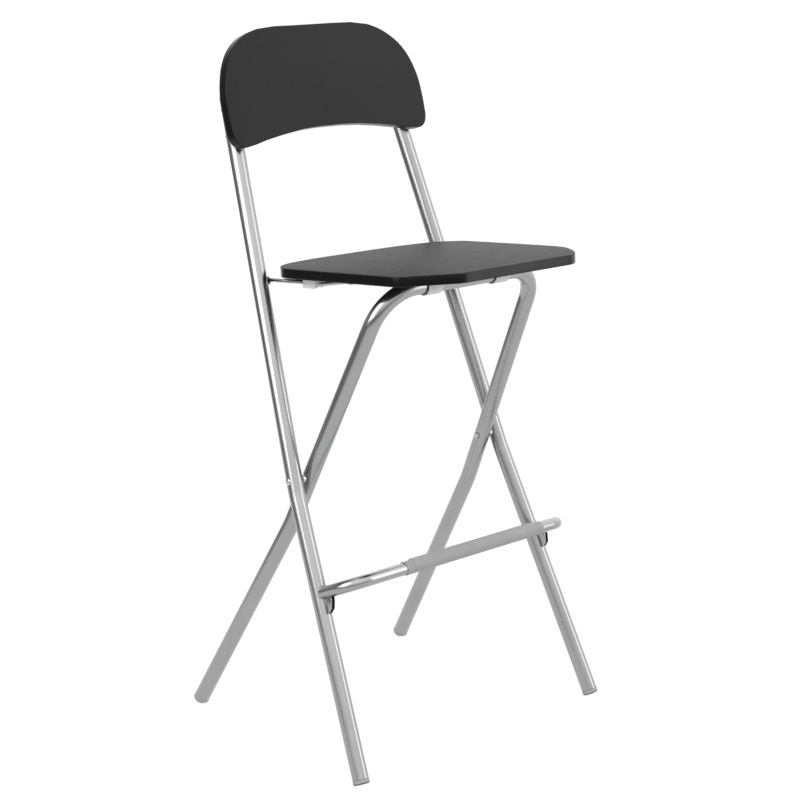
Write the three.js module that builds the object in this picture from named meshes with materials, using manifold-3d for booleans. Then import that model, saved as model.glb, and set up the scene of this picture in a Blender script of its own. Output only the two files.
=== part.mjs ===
// Folding bar stool: two leaning main tubes that carry the backrest and the footrest,
// a U-shaped rear leg frame crossed through them, a thin seat board hinged on the
// U-frame's crossbar, and a wire bail under the board that ties it to the main tubes.
// Millimetres, +Z up, -Y is the front of the stool, X = 0 is its plane of symmetry.

import * as THREE from "three";
import { mergeVertices } from "three/addons/utils/BufferGeometryUtils.js";
import Module from "manifold-3d";

const wasm = await Module();
wasm.setup();

// ---------------------------------------------------------------- driving dimensions
const Y_SHIFT = -2.2; // puts the middle of the stool's depth at y = 0
const Z_SHIFT = 5; // the shapes are drawn 5 mm lower than they stand: their floor is at z = -5

const TUBE_R = 12.5, TUBE_WALL = 1.5, TUBE_SIDES = 20;
const MAIN_FOOT = [256.3, -180.5, 0]; // axis of a main tube at the floor, at its bend and at z 1000
const MAIN_BEND = [220.96, 0, 398];
const MAIN_HIGH = [166.3, 223.1, 1000];
const MAIN_TOP_V = -26; // the tube ends this far along its axis from MAIN_HIGH
const REAR_FOOT = [225.2, 243.8, 0];
const REAR_BEND = [194.0, 46.0, 336];
const REAR_BAR_Z = 718.5; // centre line of the crossbar
const REAR_CORNER_R = 65;
const BEND_R = 200;
const FOOT_Z = 4.0 - Z_SHIFT; // height of the tube axis at the end face of a foot plug
const FOOT_LEN = 7, PLUG_R = 12.6;

const PIVOT = [7.7, 418.8]; // y, z of the leg pivot
const BAIL_END = [114.0, 705.6]; // y, z of the bushes that take the bail's ends

const ARM_Z = 259.5, ARM_LEN = 80, ARM_R = 9.5, ARM_BEND_R = 36;
const SLEEVE = { x0: -128, x1: 173, step: 16.5, r: 11.4, up: 1.1, collar: 10.6, bore: 9.8 };

const BOARD_T = 15, EDGE = 1.6;
const BACK_T = 16.8, BACK_FRONT = 40.4; // backrest: thickness, and its front face's distance from MAIN_HIGH
const BACK_PITCH = 3.72, BACK_ROLL = 0.77; // degrees: it stands this much steeper than the tubes, and this much askew
const SCREW_V = [["_upper", -42], ["_lower", -84]]; // the backrest's screws, along the tubes from MAIN_HIGH
const SEAT_Y0 = -130, SEAT_Z0 = 747.4, SEAT_SLOPE = 0.074;

const WIRE_R = 3.25, WIRE_X = 172, WIRE_CROSS_X = 146, WIRE_CROSS_Y = -27;

// ---------------------------------------------------------------- small helpers
const V = (x, y, z) => new THREE.Vector3(x, y, z);

function solid(geometry) {
  const g = geometry.clone();
  for (const k of Object.keys(g.attributes)) if (k !== "position") g.deleteAttribute(k);
  const m = mergeVertices(g, 1e-4);
  const idx = new Uint32Array(m.index.array);
  const make = (tri) =>
    new wasm.Manifold(
      new wasm.Mesh({ numProp: 3, vertProperties: new Float32Array(m.attributes.position.array), triVerts: tri }),
    );
  let s = make(idx);
  if (s.volume() < 0) {
    for (let i = 0; i < idx.length; i += 3) [idx[i + 1], idx[i + 2]] = [idx[i + 2], idx[i + 1]];
    s = make(idx);
  }
  return s;
}

function shell(manifold) {
  const m = manifold.getMesh();
  const g = new THREE.BufferGeometry();
  const pos = new Float32Array(m.numVert * 3);
  for (let i = 0; i < m.numVert; i++)
    pos.set(m.vertProperties.subarray(i * m.numProp, i * m.numProp + 3), i * 3);
  g.setAttribute("position", new THREE.BufferAttribute(pos, 3));
  g.setIndex(new THREE.BufferAttribute(new Uint32Array(m.triVerts), 1));
  const flat = g.toNonIndexed();
  flat.computeVertexNormals();
  return flat;
}

// A polyline with filleted corners, as stations with exact tangents.
function route(points, radii, step = 11) {
  const p = points.map((a) => V(...a)), st = [];
  p.forEach((q, i) => {
    if (i === 0) return st.push({ p: q.clone(), t: p[1].clone().sub(q).normalize() });
    if (i === p.length - 1) return st.push({ p: q.clone(), t: q.clone().sub(p[i - 1]).normalize() });
    const a = q.clone().sub(p[i - 1]).normalize(), b = p[i + 1].clone().sub(q).normalize();
    const angle = a.angleTo(b), R = radii[i - 1], t = R * Math.tan(angle / 2);
    const inward = b.clone().sub(a).normalize();
    const centre = q.clone().add(inward.multiplyScalar(R / Math.cos(angle / 2)));
    const n = Math.max(1, Math.ceil(THREE.MathUtils.radToDeg(angle) / step));
    const start = q.clone().addScaledVector(a, -t).sub(centre);
    const axis = a.clone().cross(b).normalize();
    for (let k = 0; k <= n; k++) {
      const w = (angle * k) / n;
      st.push({ p: centre.clone().add(start.clone().applyAxisAngle(axis, w)), t: a.clone().applyAxisAngle(axis, w) });
    }
  });
  return st;
}

class Stations extends THREE.Curve {
  constructor(st) { super(); this.st = st; }
  getPoint(u, out = new THREE.Vector3()) {
    const n = this.st.length - 1, k = Math.min(Math.floor(u * n + 1e-9), n - 1);
    return out.copy(this.st[k].p).lerp(this.st[k + 1].p, u * n - k);
  }
  getPointAt(u, out) { return this.getPoint(u, out); }
  getTangent(u, out = new THREE.Vector3()) { return out.copy(this.st[Math.round(u * (this.st.length - 1))].t); }
  getTangentAt(u, out) { return this.getTangent(u, out); }
  getSpacedPoints() { return this.st.map((s) => s.p.clone()); }
}

const ring = (r, hole, sides) => {
  const s = new THREE.Shape();
  const at = (i, q) => [q * Math.cos((2 * Math.PI * (i + 0.5)) / sides), q * Math.sin((2 * Math.PI * (i + 0.5)) / sides)];
  for (let i = 0; i < sides; i++) i ? s.lineTo(...at(i, r)) : s.moveTo(...at(i, r));
  s.closePath();
  if (hole) {
    const h = new THREE.Path();
    for (let i = 0; i < sides; i++) i ? h.lineTo(...at(i, hole)) : h.moveTo(...at(i, hole));
    h.closePath();
    s.holes.push(h);
  }
  return s;
};

function sweep(st, r, hole = 0, sides = TUBE_SIDES) {
  return solid(
    new THREE.ExtrudeGeometry(ring(r, hole, sides), {
      steps: st.length - 1, bevelEnabled: false, curveSegments: 1, extrudePath: new Stations(st),
    }),
  );
}

// A solid turned about the line from a towards b; profile rows are [distance along, radius].
function turned(a, b, rows, sides = 14) {
  const from = V(...a), dir = V(...b).sub(from).normalize();
  const g = new THREE.LatheGeometry(rows.map(([h, r]) => new THREE.Vector2(r, h)), sides);
  g.applyQuaternion(new THREE.Quaternion().setFromUnitVectors(V(0, 1, 0), dir));
  g.translate(from.x, from.y, from.z);
  return solid(g);
}
const rod = (a, b, r, sides = 14) => {
  const L = V(...b).sub(V(...a)).length();
  return turned(a, b, [[0, 0], [0, r], [L, r], [L, 0]], sides);
};

// A shape drawn in (u, v) and thickened along w, placed by an origin and two axes.
function slab(points, thick, origin, uAxis, vAxis, edge = 0) {
  const s = new THREE.Shape(points.map(([a, b]) => new THREE.Vector2(a, b)));
  const g = new THREE.ExtrudeGeometry(s, {
    depth: thick - 2 * edge, curveSegments: 1, steps: 1, bevelEnabled: edge > 0,
    bevelThickness: edge, bevelSize: edge, bevelOffset: -edge, bevelSegments: 2,
  });
  g.translate(0, 0, edge);
  const u = V(...uAxis).normalize(), v = V(...vAxis).normalize(), w = u.clone().cross(v);
  g.applyMatrix4(new THREE.Matrix4().makeBasis(u, v, w).setPosition(...origin));
  return solid(g);
}

const grey = (v) => new THREE.Color(v / 255, v / 255, v / 255).convertSRGBToLinear();
const look = {
  tube: { c: 178, r: 0.28, m: 0.9 }, steel: { c: 205, r: 0.22, m: 1 }, foot: { c: 150, r: 0.6, m: 0 },
  board: { c: 42, r: 0.5, m: 0 }, sleeve: { c: 165, r: 0.65, m: 0 }, clip: { c: 200, r: 0.5, m: 0 },
  snap: { c: 214, r: 0.45, m: 0 }, dark: { c: 28, r: 0.6, m: 0 },
};
const stool = new THREE.Group();
stool.position.set(0, Y_SHIFT, Z_SHIFT);
function piece(name, manifold, kind) {
  const k = look[kind];
  const mesh = new THREE.Mesh(
    shell(manifold),
    new THREE.MeshStandardMaterial({ color: grey(k.c), roughness: k.r, metalness: k.m }),
  );
  mesh.name = name;
  stool.add(mesh);
  return mesh;
}
const mirrored = (a, s) => [a[0] * s, a[1], a[2]];
const along = (a, d, t) => [a[0] + d.x * t, a[1] + d.y * t, a[2] + d.z * t];

// ---------------------------------------------------------------- axes of the frame
const TUBE_U = V(0, 0.3475, 0.9377).normalize(); // up the main tubes above their bend, seen from the side
const backAngle = Math.atan2(TUBE_U.y, TUBE_U.z) - BACK_PITCH * Math.PI / 180, backRoll = BACK_ROLL * Math.PI / 180;
const BACK_N = V(0, -Math.cos(backAngle), Math.sin(backAngle)); // out of the backrest's front face
const BACK_U0 = V(0, Math.sin(backAngle), Math.cos(backAngle));
const BACK_X = V(Math.cos(backRoll), 0, 0).addScaledVector(BACK_U0, Math.sin(backRoll)); // across the backrest
const BACK_U = V(-Math.sin(backRoll), 0, 0).addScaledVector(BACK_U0, Math.cos(backRoll)); // up the backrest
const BACK_ORIGIN = V(0, MAIN_HIGH[1], MAIN_HIGH[2]).addScaledVector(BACK_N, BACK_FRONT - BACK_T); // on its rear face
const mainX = (z) => z < MAIN_BEND[2] ? MAIN_FOOT[0] - 0.0888 * z
  : MAIN_BEND[0] + (MAIN_HIGH[0] - MAIN_BEND[0]) * (z - MAIN_BEND[2]) / (MAIN_HIGH[2] - MAIN_BEND[2]);
const onTube = (s, v) => V(s * mainX(MAIN_HIGH[2] + v * TUBE_U.z), MAIN_HIGH[1] + v * TUBE_U.y, MAIN_HIGH[2] + v * TUBE_U.z);
const sides = [["left", -1], ["right", 1]];

// ---------------------------------------------------------------- main tubes, plugs, pivots
for (const [name, s] of sides) {
  const foot = V(...mirrored(MAIN_FOOT, s)), bend = V(...mirrored(MAIN_BEND, s)), high = V(...mirrored(MAIN_HIGH, s));
  const low = bend.clone().sub(foot).normalize(), up = high.clone().sub(bend).normalize();
  const base = foot.clone().addScaledVector(low, FOOT_Z / low.z);
  const start = base.clone().addScaledVector(low, FOOT_LEN + 0.3);
  const top = high.clone().addScaledVector(up, MAIN_TOP_V);
  let tube = sweep(route([start.toArray(), bend.toArray(), top.toArray()], [BEND_R], 6), TUBE_R, TUBE_R - TUBE_WALL);

  // leg pivot: the bolt head sits in the outer wall, its shank runs through to the rear leg
  const [py, pz] = PIVOT;
  const px = s * mainX(pz), rx = s * 186.9;
  tube = tube.subtract(rod([px + s * 20, py, pz], [px, py, pz], 6.1));
  tube = tube.subtract(rod([px, py, pz], [px - s * 20, py, pz], 4.35));
  // bush for the end of the bail, in the inner wall
  const [by, bz] = BAIL_END, bx = s * mainX(bz);
  tube = tube.subtract(rod([bx, by, bz], [bx - s * 16, by, bz], 5.85));
  // two backrest screws through both walls
  for (const [end, v] of SCREW_V) {
    const c = onTube(s, v), tag = name + end;
    const gap = BACK_ORIGIN.clone().sub(c).dot(BACK_N); // from the tube's axis to the board
    const at = (f) => c.clone().addScaledVector(BACK_N, f).toArray();
    tube = tube.subtract(rod(at(-20), at(20), 3.45, 12));
    piece("backrest_screw_" + tag, turned(at(-16.7), at(0), [
      [0, 0], [0, 2.6], [0.9, 4.6], [2.2, 5.4], [3.5, 5.4], [3.5, 3], [gap + 25, 3], [gap + 25, 0],
    ], 12), "steel");
    piece("backrest_saddle_" + tag,
      rod(at(6), at(gap - 0.3), 9, 14)
        .subtract(rod(along(c.toArray(), up, -30), along(c.toArray(), up, 30), TUBE_R + 0.4, 28))
        .subtract(rod(at(0), at(gap + 3), 3.45, 12)), "foot");
  }
  piece("main_tube_" + name, tube, "tube");

  piece("main_tube_cap_" + name, turned(along(top.toArray(), up, -8), top.toArray(), [
    [0, 0], [0, 10.6], [8.3, 10.6], [8.3, 12.5], [10.2, 12.2], [11.9, 10.4], [12.8, 7], [13.2, 0],
  ], 16), "foot");

  const footPlug = (b, d, label) => {
    const p = turned(b.toArray(), along(b.toArray(), d, 1), [
      [0, 0], [0, 10.9], [0.5, 11.9], [1.7, PLUG_R], [FOOT_LEN, PLUG_R], [FOOT_LEN, 10.6], [FOOT_LEN + 20, 10.6], [FOOT_LEN + 20, 0],
    ], TUBE_SIDES);
    const under = slab([[-60, -60], [60, -60], [60, 60], [-60, 60]], 30, [b.x, b.y, -30 - Z_SHIFT], [1, 0, 0], [0, 1, 0]);
    piece(label, p.subtract(under), "foot");
  };
  footPlug(base, low, "front_foot_" + name);

  piece("pivot_bolt_" + name, turned([px + s * 14.6, py, pz], [0, py, pz], [
    [0, 0], [0.15, 2.6], [0.7, 4.5], [1.5, 5.4], [2.3, 5.7], [5.6, 5.7], [5.6, 4], [px * s - 178.5 + 14.6 + 0.001, 4],
    [px * s - 178.5 + 14.6 + 0.001, 2.6], [px * s - 174.4 + 14.6 + 0.4, 2.6], [px * s - 174.4 + 14.6 + 0.4, 0],
  ], 14), "steel");
  piece("pivot_spacer_" + name,
    rod([s * 205.75, py, pz], [s * 200.25, py, pz], 6.2).subtract(rod([s * 210, py, pz], [s * 195, py, pz], 4.3)), "steel");
  piece("pivot_nut_" + name,
    turned([s * 177.6, py, pz], [0, py, pz], [[0, 0], [0, 4.4], [4.5, 4.4], [5.3, 3.9], [5.7, 2.6], [5.8, 0]], 14)
      .subtract(rod([s * 180, py, pz], [s * 173.4, py, pz], 2.95, 12)), "steel");
  piece("bail_bush_" + name,
    turned([s * 188.5, by, bz], [0, by, bz], [
      [0, 0], [0, 5.5], [8.9, 5.5], [8.9, 7.2], [10, 7.2], [10, 5.9], [12.3, 5.9], [12.8, 5.4], [12.8, 0],
    ], 14).subtract(rod([s * 181, by, bz], [s * 170, by, bz], 3.6, 12)), "dark");

  // ------------------------------------------------------------ footrest arms' gussets
  const O = V(s * mainX(ARM_Z), MAIN_FOOT[1] + 0.4534 * ARM_Z, ARM_Z);
  const arm = V(0, -0.911, 0.413).normalize(), down = low.clone().negate();
  const at = ([a, b]) => [a, b];
  const profile = [[4, 4], [30.5, 4], [30, 14], [25, 26.5], [16.5, 32], [4, 32]].map(at);
  const inner = [[15, 2], [40, 2], [40, 40], [15, 40]].map(at);
  const u = arm, v = down, w = u.clone().cross(v).normalize();
  const place = (pts, half) => slab(pts, 2 * half, O.clone().addScaledVector(w, -half).toArray(), u.toArray(), v.toArray());
  const channel = place(profile, 3.6)
    .subtract(place(inner, 2.5))
    .subtract(rod(along(O.toArray(), low, -60), along(O.toArray(), low, 30), TUBE_R + 0.4, 24))
    .subtract(rod(along(O.toArray(), arm, -10), along(O.toArray(), arm, 60), ARM_R + 0.4, 24));
  const parts = channel.decompose().sort((a, b) => b.volume() - a.volume());
  piece("footrest_gusset_" + name, parts[0], "tube");
}

// ---------------------------------------------------------------- footrest
{
  const start = (s) => V(s * mainX(ARM_Z), MAIN_FOOT[1] + 0.4534 * ARM_Z, ARM_Z);
  const arm = V(0, -0.911, 0.413).normalize();
  const a = start(-1), b = start(1);
  const pa = a.clone().addScaledVector(arm, ARM_LEN), pb = b.clone().addScaledVector(arm, ARM_LEN);
  let tube = sweep(
    route([along(a.toArray(), arm, 6), pa.toArray(), pb.toArray(), along(b.toArray(), arm, 6)], [ARM_BEND_R, ARM_BEND_R], 15),
    ARM_R, ARM_R - 1.4, 16,
  );
  for (const s of [-1, 1]) {
    const foot = V(...mirrored(MAIN_FOOT, s)), low = V(...mirrored(MAIN_BEND, s)).sub(foot).normalize();
    const o = start(s).toArray();
    tube = tube.subtract(rod(along(o, low, -50), along(o, low, 50), TUBE_R + 0.4, 24));
  }
  piece("footrest_tube", tube, "tube");

  const y = pa.y, z = pa.z;
  const full = rod([SLEEVE.x0 + SLEEVE.step, y, z + SLEEVE.up], [SLEEVE.x1 - SLEEVE.step, y, z + SLEEVE.up], SLEEVE.r, 24);
  const collar = rod([SLEEVE.x0, y, z + 0.1], [SLEEVE.x1, y, z + 0.1], SLEEVE.collar, 24);
  piece("footrest_sleeve", full.add(collar).subtract(rod([SLEEVE.x0 - 9, y, z], [SLEEVE.x1 + 9, y, z], SLEEVE.bore, 20)), "sleeve");
}

// ---------------------------------------------------------------- backrest board
// The outline, each half as (distance from the middle, distance up the board).
const BACK_RIGHT = [
  [40, 73.7], [80, 73.2], [114.5, 68.6], [134.5, 61.8], [148.5, 54.9], [162.8, 45.3], [175.4, 34.3], [187.9, 18], [196.4, -0.1],
  [202, -20], [204.2, -38], [204.4, -62], [203.2, -85], [199.2, -96.9], [193.8, -102.9], [188.3, -105.8], [179.7, -106.7],
  [160.9, -104.6], [138.8, -100.4], [98.5, -94.4], [60.3, -90], [25.1, -88.1],
];
const BACK_LEFT = [
  [40, 73.6], [80, 73.9], [115, 71.2], [136, 65.6], [150.9, 59], [165.5, 48.7], [177.3, 36], [188.2, 18.1], [195.5, -0.5],
  [200.8, -20.2], [203, -38], [203.5, -62], [203, -85], [199.6, -96.9], [194.9, -103.8], [188.8, -107.8], [179.6, -107.9],
  [160.8, -105.1], [138.8, -100.2], [98.6, -93.7], [60.3, -89.2], [25.1, -87.7],
];
{
  const outline = [...BACK_RIGHT, ...BACK_LEFT.slice().reverse().map(([w, v]) => [-w, v])];
  let board = slab(outline, BACK_T, BACK_ORIGIN.toArray(), BACK_X.toArray(), BACK_U.toArray(), EDGE);
  for (const s of [-1, 1])
    for (const [, v] of SCREW_V) {
      const c = onTube(s, v), gap = BACK_ORIGIN.clone().sub(c).dot(BACK_N);
      board = board.subtract(
        rod(c.clone().addScaledVector(BACK_N, gap - 6).toArray(), c.clone().addScaledVector(BACK_N, gap + 9.1).toArray(), 3.4, 12),
      );
    }
  piece("backrest_panel", board, "board");
}

// ---------------------------------------------------------------- rear leg frame
{
  const foot = V(...REAR_FOOT), bend = V(...REAR_BEND);
  const low = bend.clone().sub(foot).normalize();
  const upDir = V(162.8 - 194.0, -122.4 - 46.0, 700 - 336).normalize();
  const k = (REAR_BAR_Z - bend.z) / upDir.z;
  const corner = bend.clone().addScaledVector(upDir, k);
  const base = foot.clone().addScaledVector(low, FOOT_Z / low.z);
  const start = base.clone().addScaledVector(low, FOOT_LEN + 0.3);
  const m = (v) => [-v.x, v.y, v.z];
  let tube = sweep(
    route([m(start), m(bend), m(corner), corner.toArray(), bend.toArray(), start.toArray()],
      [BEND_R, REAR_CORNER_R, REAR_CORNER_R, BEND_R], 12.5),
    TUBE_R, TUBE_R - TUBE_WALL,
  );
  const [py, pz] = PIVOT;
  for (const s of [-1, 1]) {
    tube = tube.subtract(rod([s * 205, py, pz], [s * 186.9, py, pz], 4.35));
    tube = tube.subtract(rod([s * 186.9, py, pz], [s * 168, py, pz], 5.3));
  }
  piece("rear_leg_tube", tube, "tube");
  for (const [name, s] of sides) {
    const b = V(base.x * s, base.y, base.z), d = V(low.x * s, low.y, low.z);
    const p = turned(b.toArray(), along(b.toArray(), d, 1), [
      [0, 0], [0, 10.9], [0.5, 11.9], [1.7, PLUG_R], [FOOT_LEN, PLUG_R], [FOOT_LEN, 10.6], [FOOT_LEN + 20, 10.6], [FOOT_LEN + 20, 0],
    ], TUBE_SIDES);
    const under = slab([[-60, -60], [60, -60], [60, 60], [-60, 60]], 30, [b.x, b.y, -30 - Z_SHIFT], [1, 0, 0], [0, 1, 0]);
    piece("rear_foot_" + name, p.subtract(under), "foot");
  }
}

// ---------------------------------------------------------------- seat board and what it carries
// Seat coordinates: x, s along the board towards the rear, h up from its top face.
const TILT = Math.atan(SEAT_SLOPE), CT = Math.cos(TILT), ST = Math.sin(TILT);
const seat = (x, s, h) => [x, SEAT_Y0 + s * CT + h * ST, SEAT_Z0 - s * ST + h * CT];
const seatOf = (y, z) => [(y - SEAT_Y0) * CT - (z - SEAT_Z0) * ST, (y - SEAT_Y0) * ST + (z - SEAT_Z0) * CT];
const S_AXIS = [0, CT, -ST], H_AXIS = [0, ST, CT];
// The seat's outline from above, each half as (distance from the middle, y); the right front corner is cut a little more.
const SEAT_LEFT = [
  [100, -246.6], [112, -246.4], [121, -244.4], [130, -239.2], [138, -232.8], [147, -225.6], [158, -217], [171, -206.4],
  [182, -199.4], [190, -192.4], [194, -184], [195.2, -176], [195.6, -60], [195.2, 46], [193, 60], [187, 70.6], [174.6, 86.6],
  [159.6, 97], [140, 105], [118, 109.4], [90, 113], [45, 114.4],
];
const SEAT_RIGHT = [
  [100, -246], [112, -245.2], [121, -242.2], [130, -236.6], [138, -229.6], [147, -221.2], [155.8, -211.6], [163.8, -201.4],
  [171.2, -191.2], [178, -181.2], [184, -171], [188.4, -159.6], [191.6, -142], [193.6, -108], [194.6, -60], [194.6, 46],
  [193, 60], [187, 71], [174.6, 87], [159.6, 97.4], [140, 105], [118, 109.6], [90, 113.2], [45, 114.6],
];
{
  const onBoard = (k) => ([w, y]) => [k * w, (y - SEAT_Y0) / CT];
  const outline = [...SEAT_RIGHT.map(onBoard(1)), ...SEAT_LEFT.slice().reverse().map(onBoard(-1))];
  let board = slab(outline, BOARD_T, seat(0, 0, -BOARD_T), [1, 0, 0], S_AXIS, EDGE);
  const screwHoles = [];
  // clips that hold the crossbar: a strap with two flanges, lined with a thin black shell
  const [cs, ch] = seatOf(-130.95, REAR_BAR_Z);
  const CLIPS = [["left", -86], ["right", 57]];
  for (const [name, x0] of CLIPS) {
    const x1 = x0 + 30;
    const bar = (r, n = 28) => rod(seat(x0 - 20, cs, ch), seat(x1 + 20, cs, ch), r, n);
    const box = (xa, xb, sa, sb, ha, hb) =>
      slab([[xa, sa], [xb, sa], [xb, sb], [xa, sb]], hb - ha, seat(0, 0, ha), [1, 0, 0], S_AXIS);
    let strap = box(x0, x1, cs - 14.88, cs + 14.88, ch - 0.6, -15.35).add(
      rod(seat(x0, cs, ch), seat(x1, cs, ch), 14.9, 28).subtract(box(x0 - 5, x1 + 5, cs - 20, cs + 20, ch, ch + 30)),
    );
    strap = strap.add(box(x0, x1, cs - 25, cs + 25, -17.6, -15.35)).subtract(bar(13.6));
    // open towards the board: the bar's top lies against the liner there
    strap = strap.subtract(box(x0 - 5, x1 + 5, cs - 9.2, cs + 9.2, ch + 6, -10));
    for (const [end, ds] of [["front", -20], ["rear", 20]]) {
      const c = [x0 + 15, cs + ds];
      strap = strap.subtract(rod(seat(c[0], c[1], -20), seat(c[0], c[1], -14), 2.4, 12));
      board = board.subtract(rod(seat(c[0], c[1], -16), seat(c[0], c[1], -5.5), 2.3, 12));
      piece("seat_clip_screw_" + name + "_" + end,
        turned(seat(c[0], c[1], -19.9), seat(c[0], c[1], 0), [[0, 0], [0, 2.2], [0.7, 3.7], [2, 4.2], [2, 2], [13.9, 2], [13.9, 0]], 12), "steel");
    }
    piece("seat_clip_" + name, strap, "clip");
    let liner = rod(seat(x0 - 1.4, cs, ch), seat(x1 + 0.3, cs, ch), 13.22, 28).subtract(bar(12.85));
    liner = liner.subtract(box(x0 - 9, x1 + 9, cs - 20, cs + 20, ch + 9, -9));
    piece("seat_clip_liner_" + name, liner.decompose().sort((a, b) => b.volume() - a.volume())[0], "dark");
  }

  for (const [name, s] of sides) {
    const box = (xa, xb, sa, sb, ha, hb) =>
      slab([[xa, sa], [xb, sa], [xb, sb], [xa, sb]], hb - ha, seat(0, 0, ha), [1, 0, 0], S_AXIS);
    // pivot clip: the bail's cross wire turns in its bore
    const [ws, wh] = seatOf(WIRE_CROSS_Y, SEAT_Z0 - (WIRE_CROSS_Y - SEAT_Y0) * SEAT_SLOPE - BOARD_T - 7);
    const xa = s < 0 ? -136 : 106, xb = xa + 30, xm = xa + 15;
    let clip = box(xa, xb, ws - 8, ws + 8, -27.2, -15.35).add(box(xa, xb, ws - 22, ws - 7.5, -18.6, -15.35));
    clip = clip.subtract(rod(seat(xa - 5, ws, wh), seat(xb + 5, ws, wh), WIRE_R + 0.35, 20));
    clip = clip.subtract(rod(seat(xm, ws - 15, -25), seat(xm, ws - 15, -14), 2.4, 12));
    piece("bail_pivot_clip_" + name, clip, "clip");
    board = board.subtract(rod(seat(xm, ws - 15, -16), seat(xm, ws - 15, -5.5), 2.3, 12));
    piece("bail_pivot_screw_" + name,
      turned(seat(xm, ws - 15, -20.9), seat(xm, ws - 15, 0), [[0, 0], [0, 2.2], [0.7, 3.7], [2, 4.2], [2, 2], [14.9, 2], [14.9, 0]], 12), "steel");

    // snap clip: a channel, open below, that the bail's leg presses into when the seat is down
    const [s0] = seatOf(-2, 722), [s1] = seatOf(27, 720);
    const cx = s * WIRE_X, hw = 10;
    const side = [[s0 + 4.5, -29.2], [s1, -29.2], [s1, -15.35], [s0, -15.35], [s0, -25.2]];
    let snap = slab(side.map(([a, h]) => [a, h]), 2 * hw, [cx - hw, SEAT_Y0, SEAT_Z0], S_AXIS, H_AXIS);
    const slot = box(cx - 3.75, cx + 3.75, s0 - 5, s1 + 5, -40, -19.6);
    const flare = [[s * 175.75, s0 - 5], [s * 175.75, s0 + 16], [s * 168.25, s0 + 16], [s * 156, s0 - 5]];
    snap = snap.subtract(slot).subtract(slab(flare, 20.4, seat(0, 0, -40), [1, 0, 0], S_AXIS));
    const sx = cx, sm = (s0 + s1) / 2 + 3;
    snap = snap.subtract(rod(seat(sx, sm, -25), seat(sx, sm, -14), 2.0, 12));
    piece("bail_snap_clip_" + name, snap, "snap");
    board = board.subtract(rod(seat(sx, sm, -16), seat(sx, sm, -5.5), 2.0, 12));
    piece("bail_snap_screw_" + name,
      turned(seat(sx, sm, -20.4), seat(sx, sm, 0), [[0, 0], [0, 2.6], [0.5, 3.2], [0.5, 1.7], [13.9, 1.7], [13.9, 0]].map(([h, r]) => [h, r]), 12), "steel");
  }
  piece("seat_panel", board, "board");
}

// ---------------------------------------------------------------- wire bail under the seat
{
  const zc = SEAT_Z0 - (WIRE_CROSS_Y - SEAT_Y0) * SEAT_SLOPE - BOARD_T - 7;
  const leg = (s) => [
    [s * WIRE_X, 118, 705.65], [s * WIRE_X, 40, 712.6], [s * WIRE_X, 28, 711.3], [s * WIRE_X, 4, 713.2],
    [s * WIRE_CROSS_X, WIRE_CROSS_Y, zc],
  ];
  const pts = [...leg(-1), ...leg(1).reverse()];
  piece("bail_wire", sweep(route(pts, [30, 30, 12, 12, 12, 12, 30, 30], 20), WIRE_R, 0, 10), "steel");
}

export default stool;
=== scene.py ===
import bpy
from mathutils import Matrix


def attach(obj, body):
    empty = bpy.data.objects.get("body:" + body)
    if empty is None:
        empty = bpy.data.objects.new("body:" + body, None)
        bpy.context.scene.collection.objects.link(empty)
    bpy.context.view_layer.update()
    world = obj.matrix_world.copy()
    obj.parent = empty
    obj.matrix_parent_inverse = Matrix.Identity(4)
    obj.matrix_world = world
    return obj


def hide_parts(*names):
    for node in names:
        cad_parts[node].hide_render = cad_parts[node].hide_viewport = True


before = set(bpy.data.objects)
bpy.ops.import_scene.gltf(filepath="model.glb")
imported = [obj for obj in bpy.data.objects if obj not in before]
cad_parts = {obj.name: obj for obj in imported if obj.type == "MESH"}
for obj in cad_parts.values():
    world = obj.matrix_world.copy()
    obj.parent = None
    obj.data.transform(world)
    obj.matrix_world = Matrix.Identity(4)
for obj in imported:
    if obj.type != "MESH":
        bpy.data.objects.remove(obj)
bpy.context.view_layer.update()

import math

import bmesh
import bpy
import numpy as np
from mathutils import Matrix, Quaternion, Vector

scene = bpy.context.scene
MM = 0.001
Y_SHIFT = -2.2  # the shapes below are drawn with the pivot plane at y = 7.7 mm; this centres the depth
Z_SHIFT = 5.0  # and they are drawn 5 mm lower than they stand

# ------------------------------------------------------------------ dimensions, in millimetres
TUBE_R, TUBE_WALL, TUBE_SIDES = 12.5, 1.5, 72
MAIN_FOOT = (256.3, -180.5, 0.0)
MAIN_BEND = (220.96, 0.0, 398.0)
MAIN_HIGH = (166.3, 223.1, 1000.0)
MAIN_TOP_V = -26.0
REAR_FOOT = (225.2, 243.8, 0.0)
REAR_BEND = (194.0, 46.0, 336.0)
REAR_BAR_Z = 718.5
REAR_CORNER_R = 65.0
BEND_R = 200.0
FOOT_Z, FOOT_LEN, PLUG_R = 4.0 - Z_SHIFT, 7.0, 12.6
PIVOT = (7.7, 418.8)
BAIL_END = (114.0, 705.6)
ARM_Z, ARM_LEN, ARM_R, ARM_BEND_R = 259.5, 80.0, 9.5, 36.0
BOARD_T, EDGE = 15.0, 1.6
BACK_T, BACK_FRONT = 16.8, 40.4
BACK_PITCH, BACK_ROLL = 3.72, 0.77
SCREW_V = (("_upper", -42.0), ("_lower", -84.0))
SEAT_Y0, SEAT_Z0, SEAT_SLOPE = -130.0, 747.4, 0.074
WIRE_R, WIRE_X, WIRE_CROSS_X, WIRE_CROSS_Y = 3.25, 172.0, 146.0, -27.0
SIDES = (("left", -1), ("right", 1))


def V(*a):
    return Vector(a if len(a) > 1 else a[0])


def unit(v):
    return Vector(v).normalized()


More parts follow.
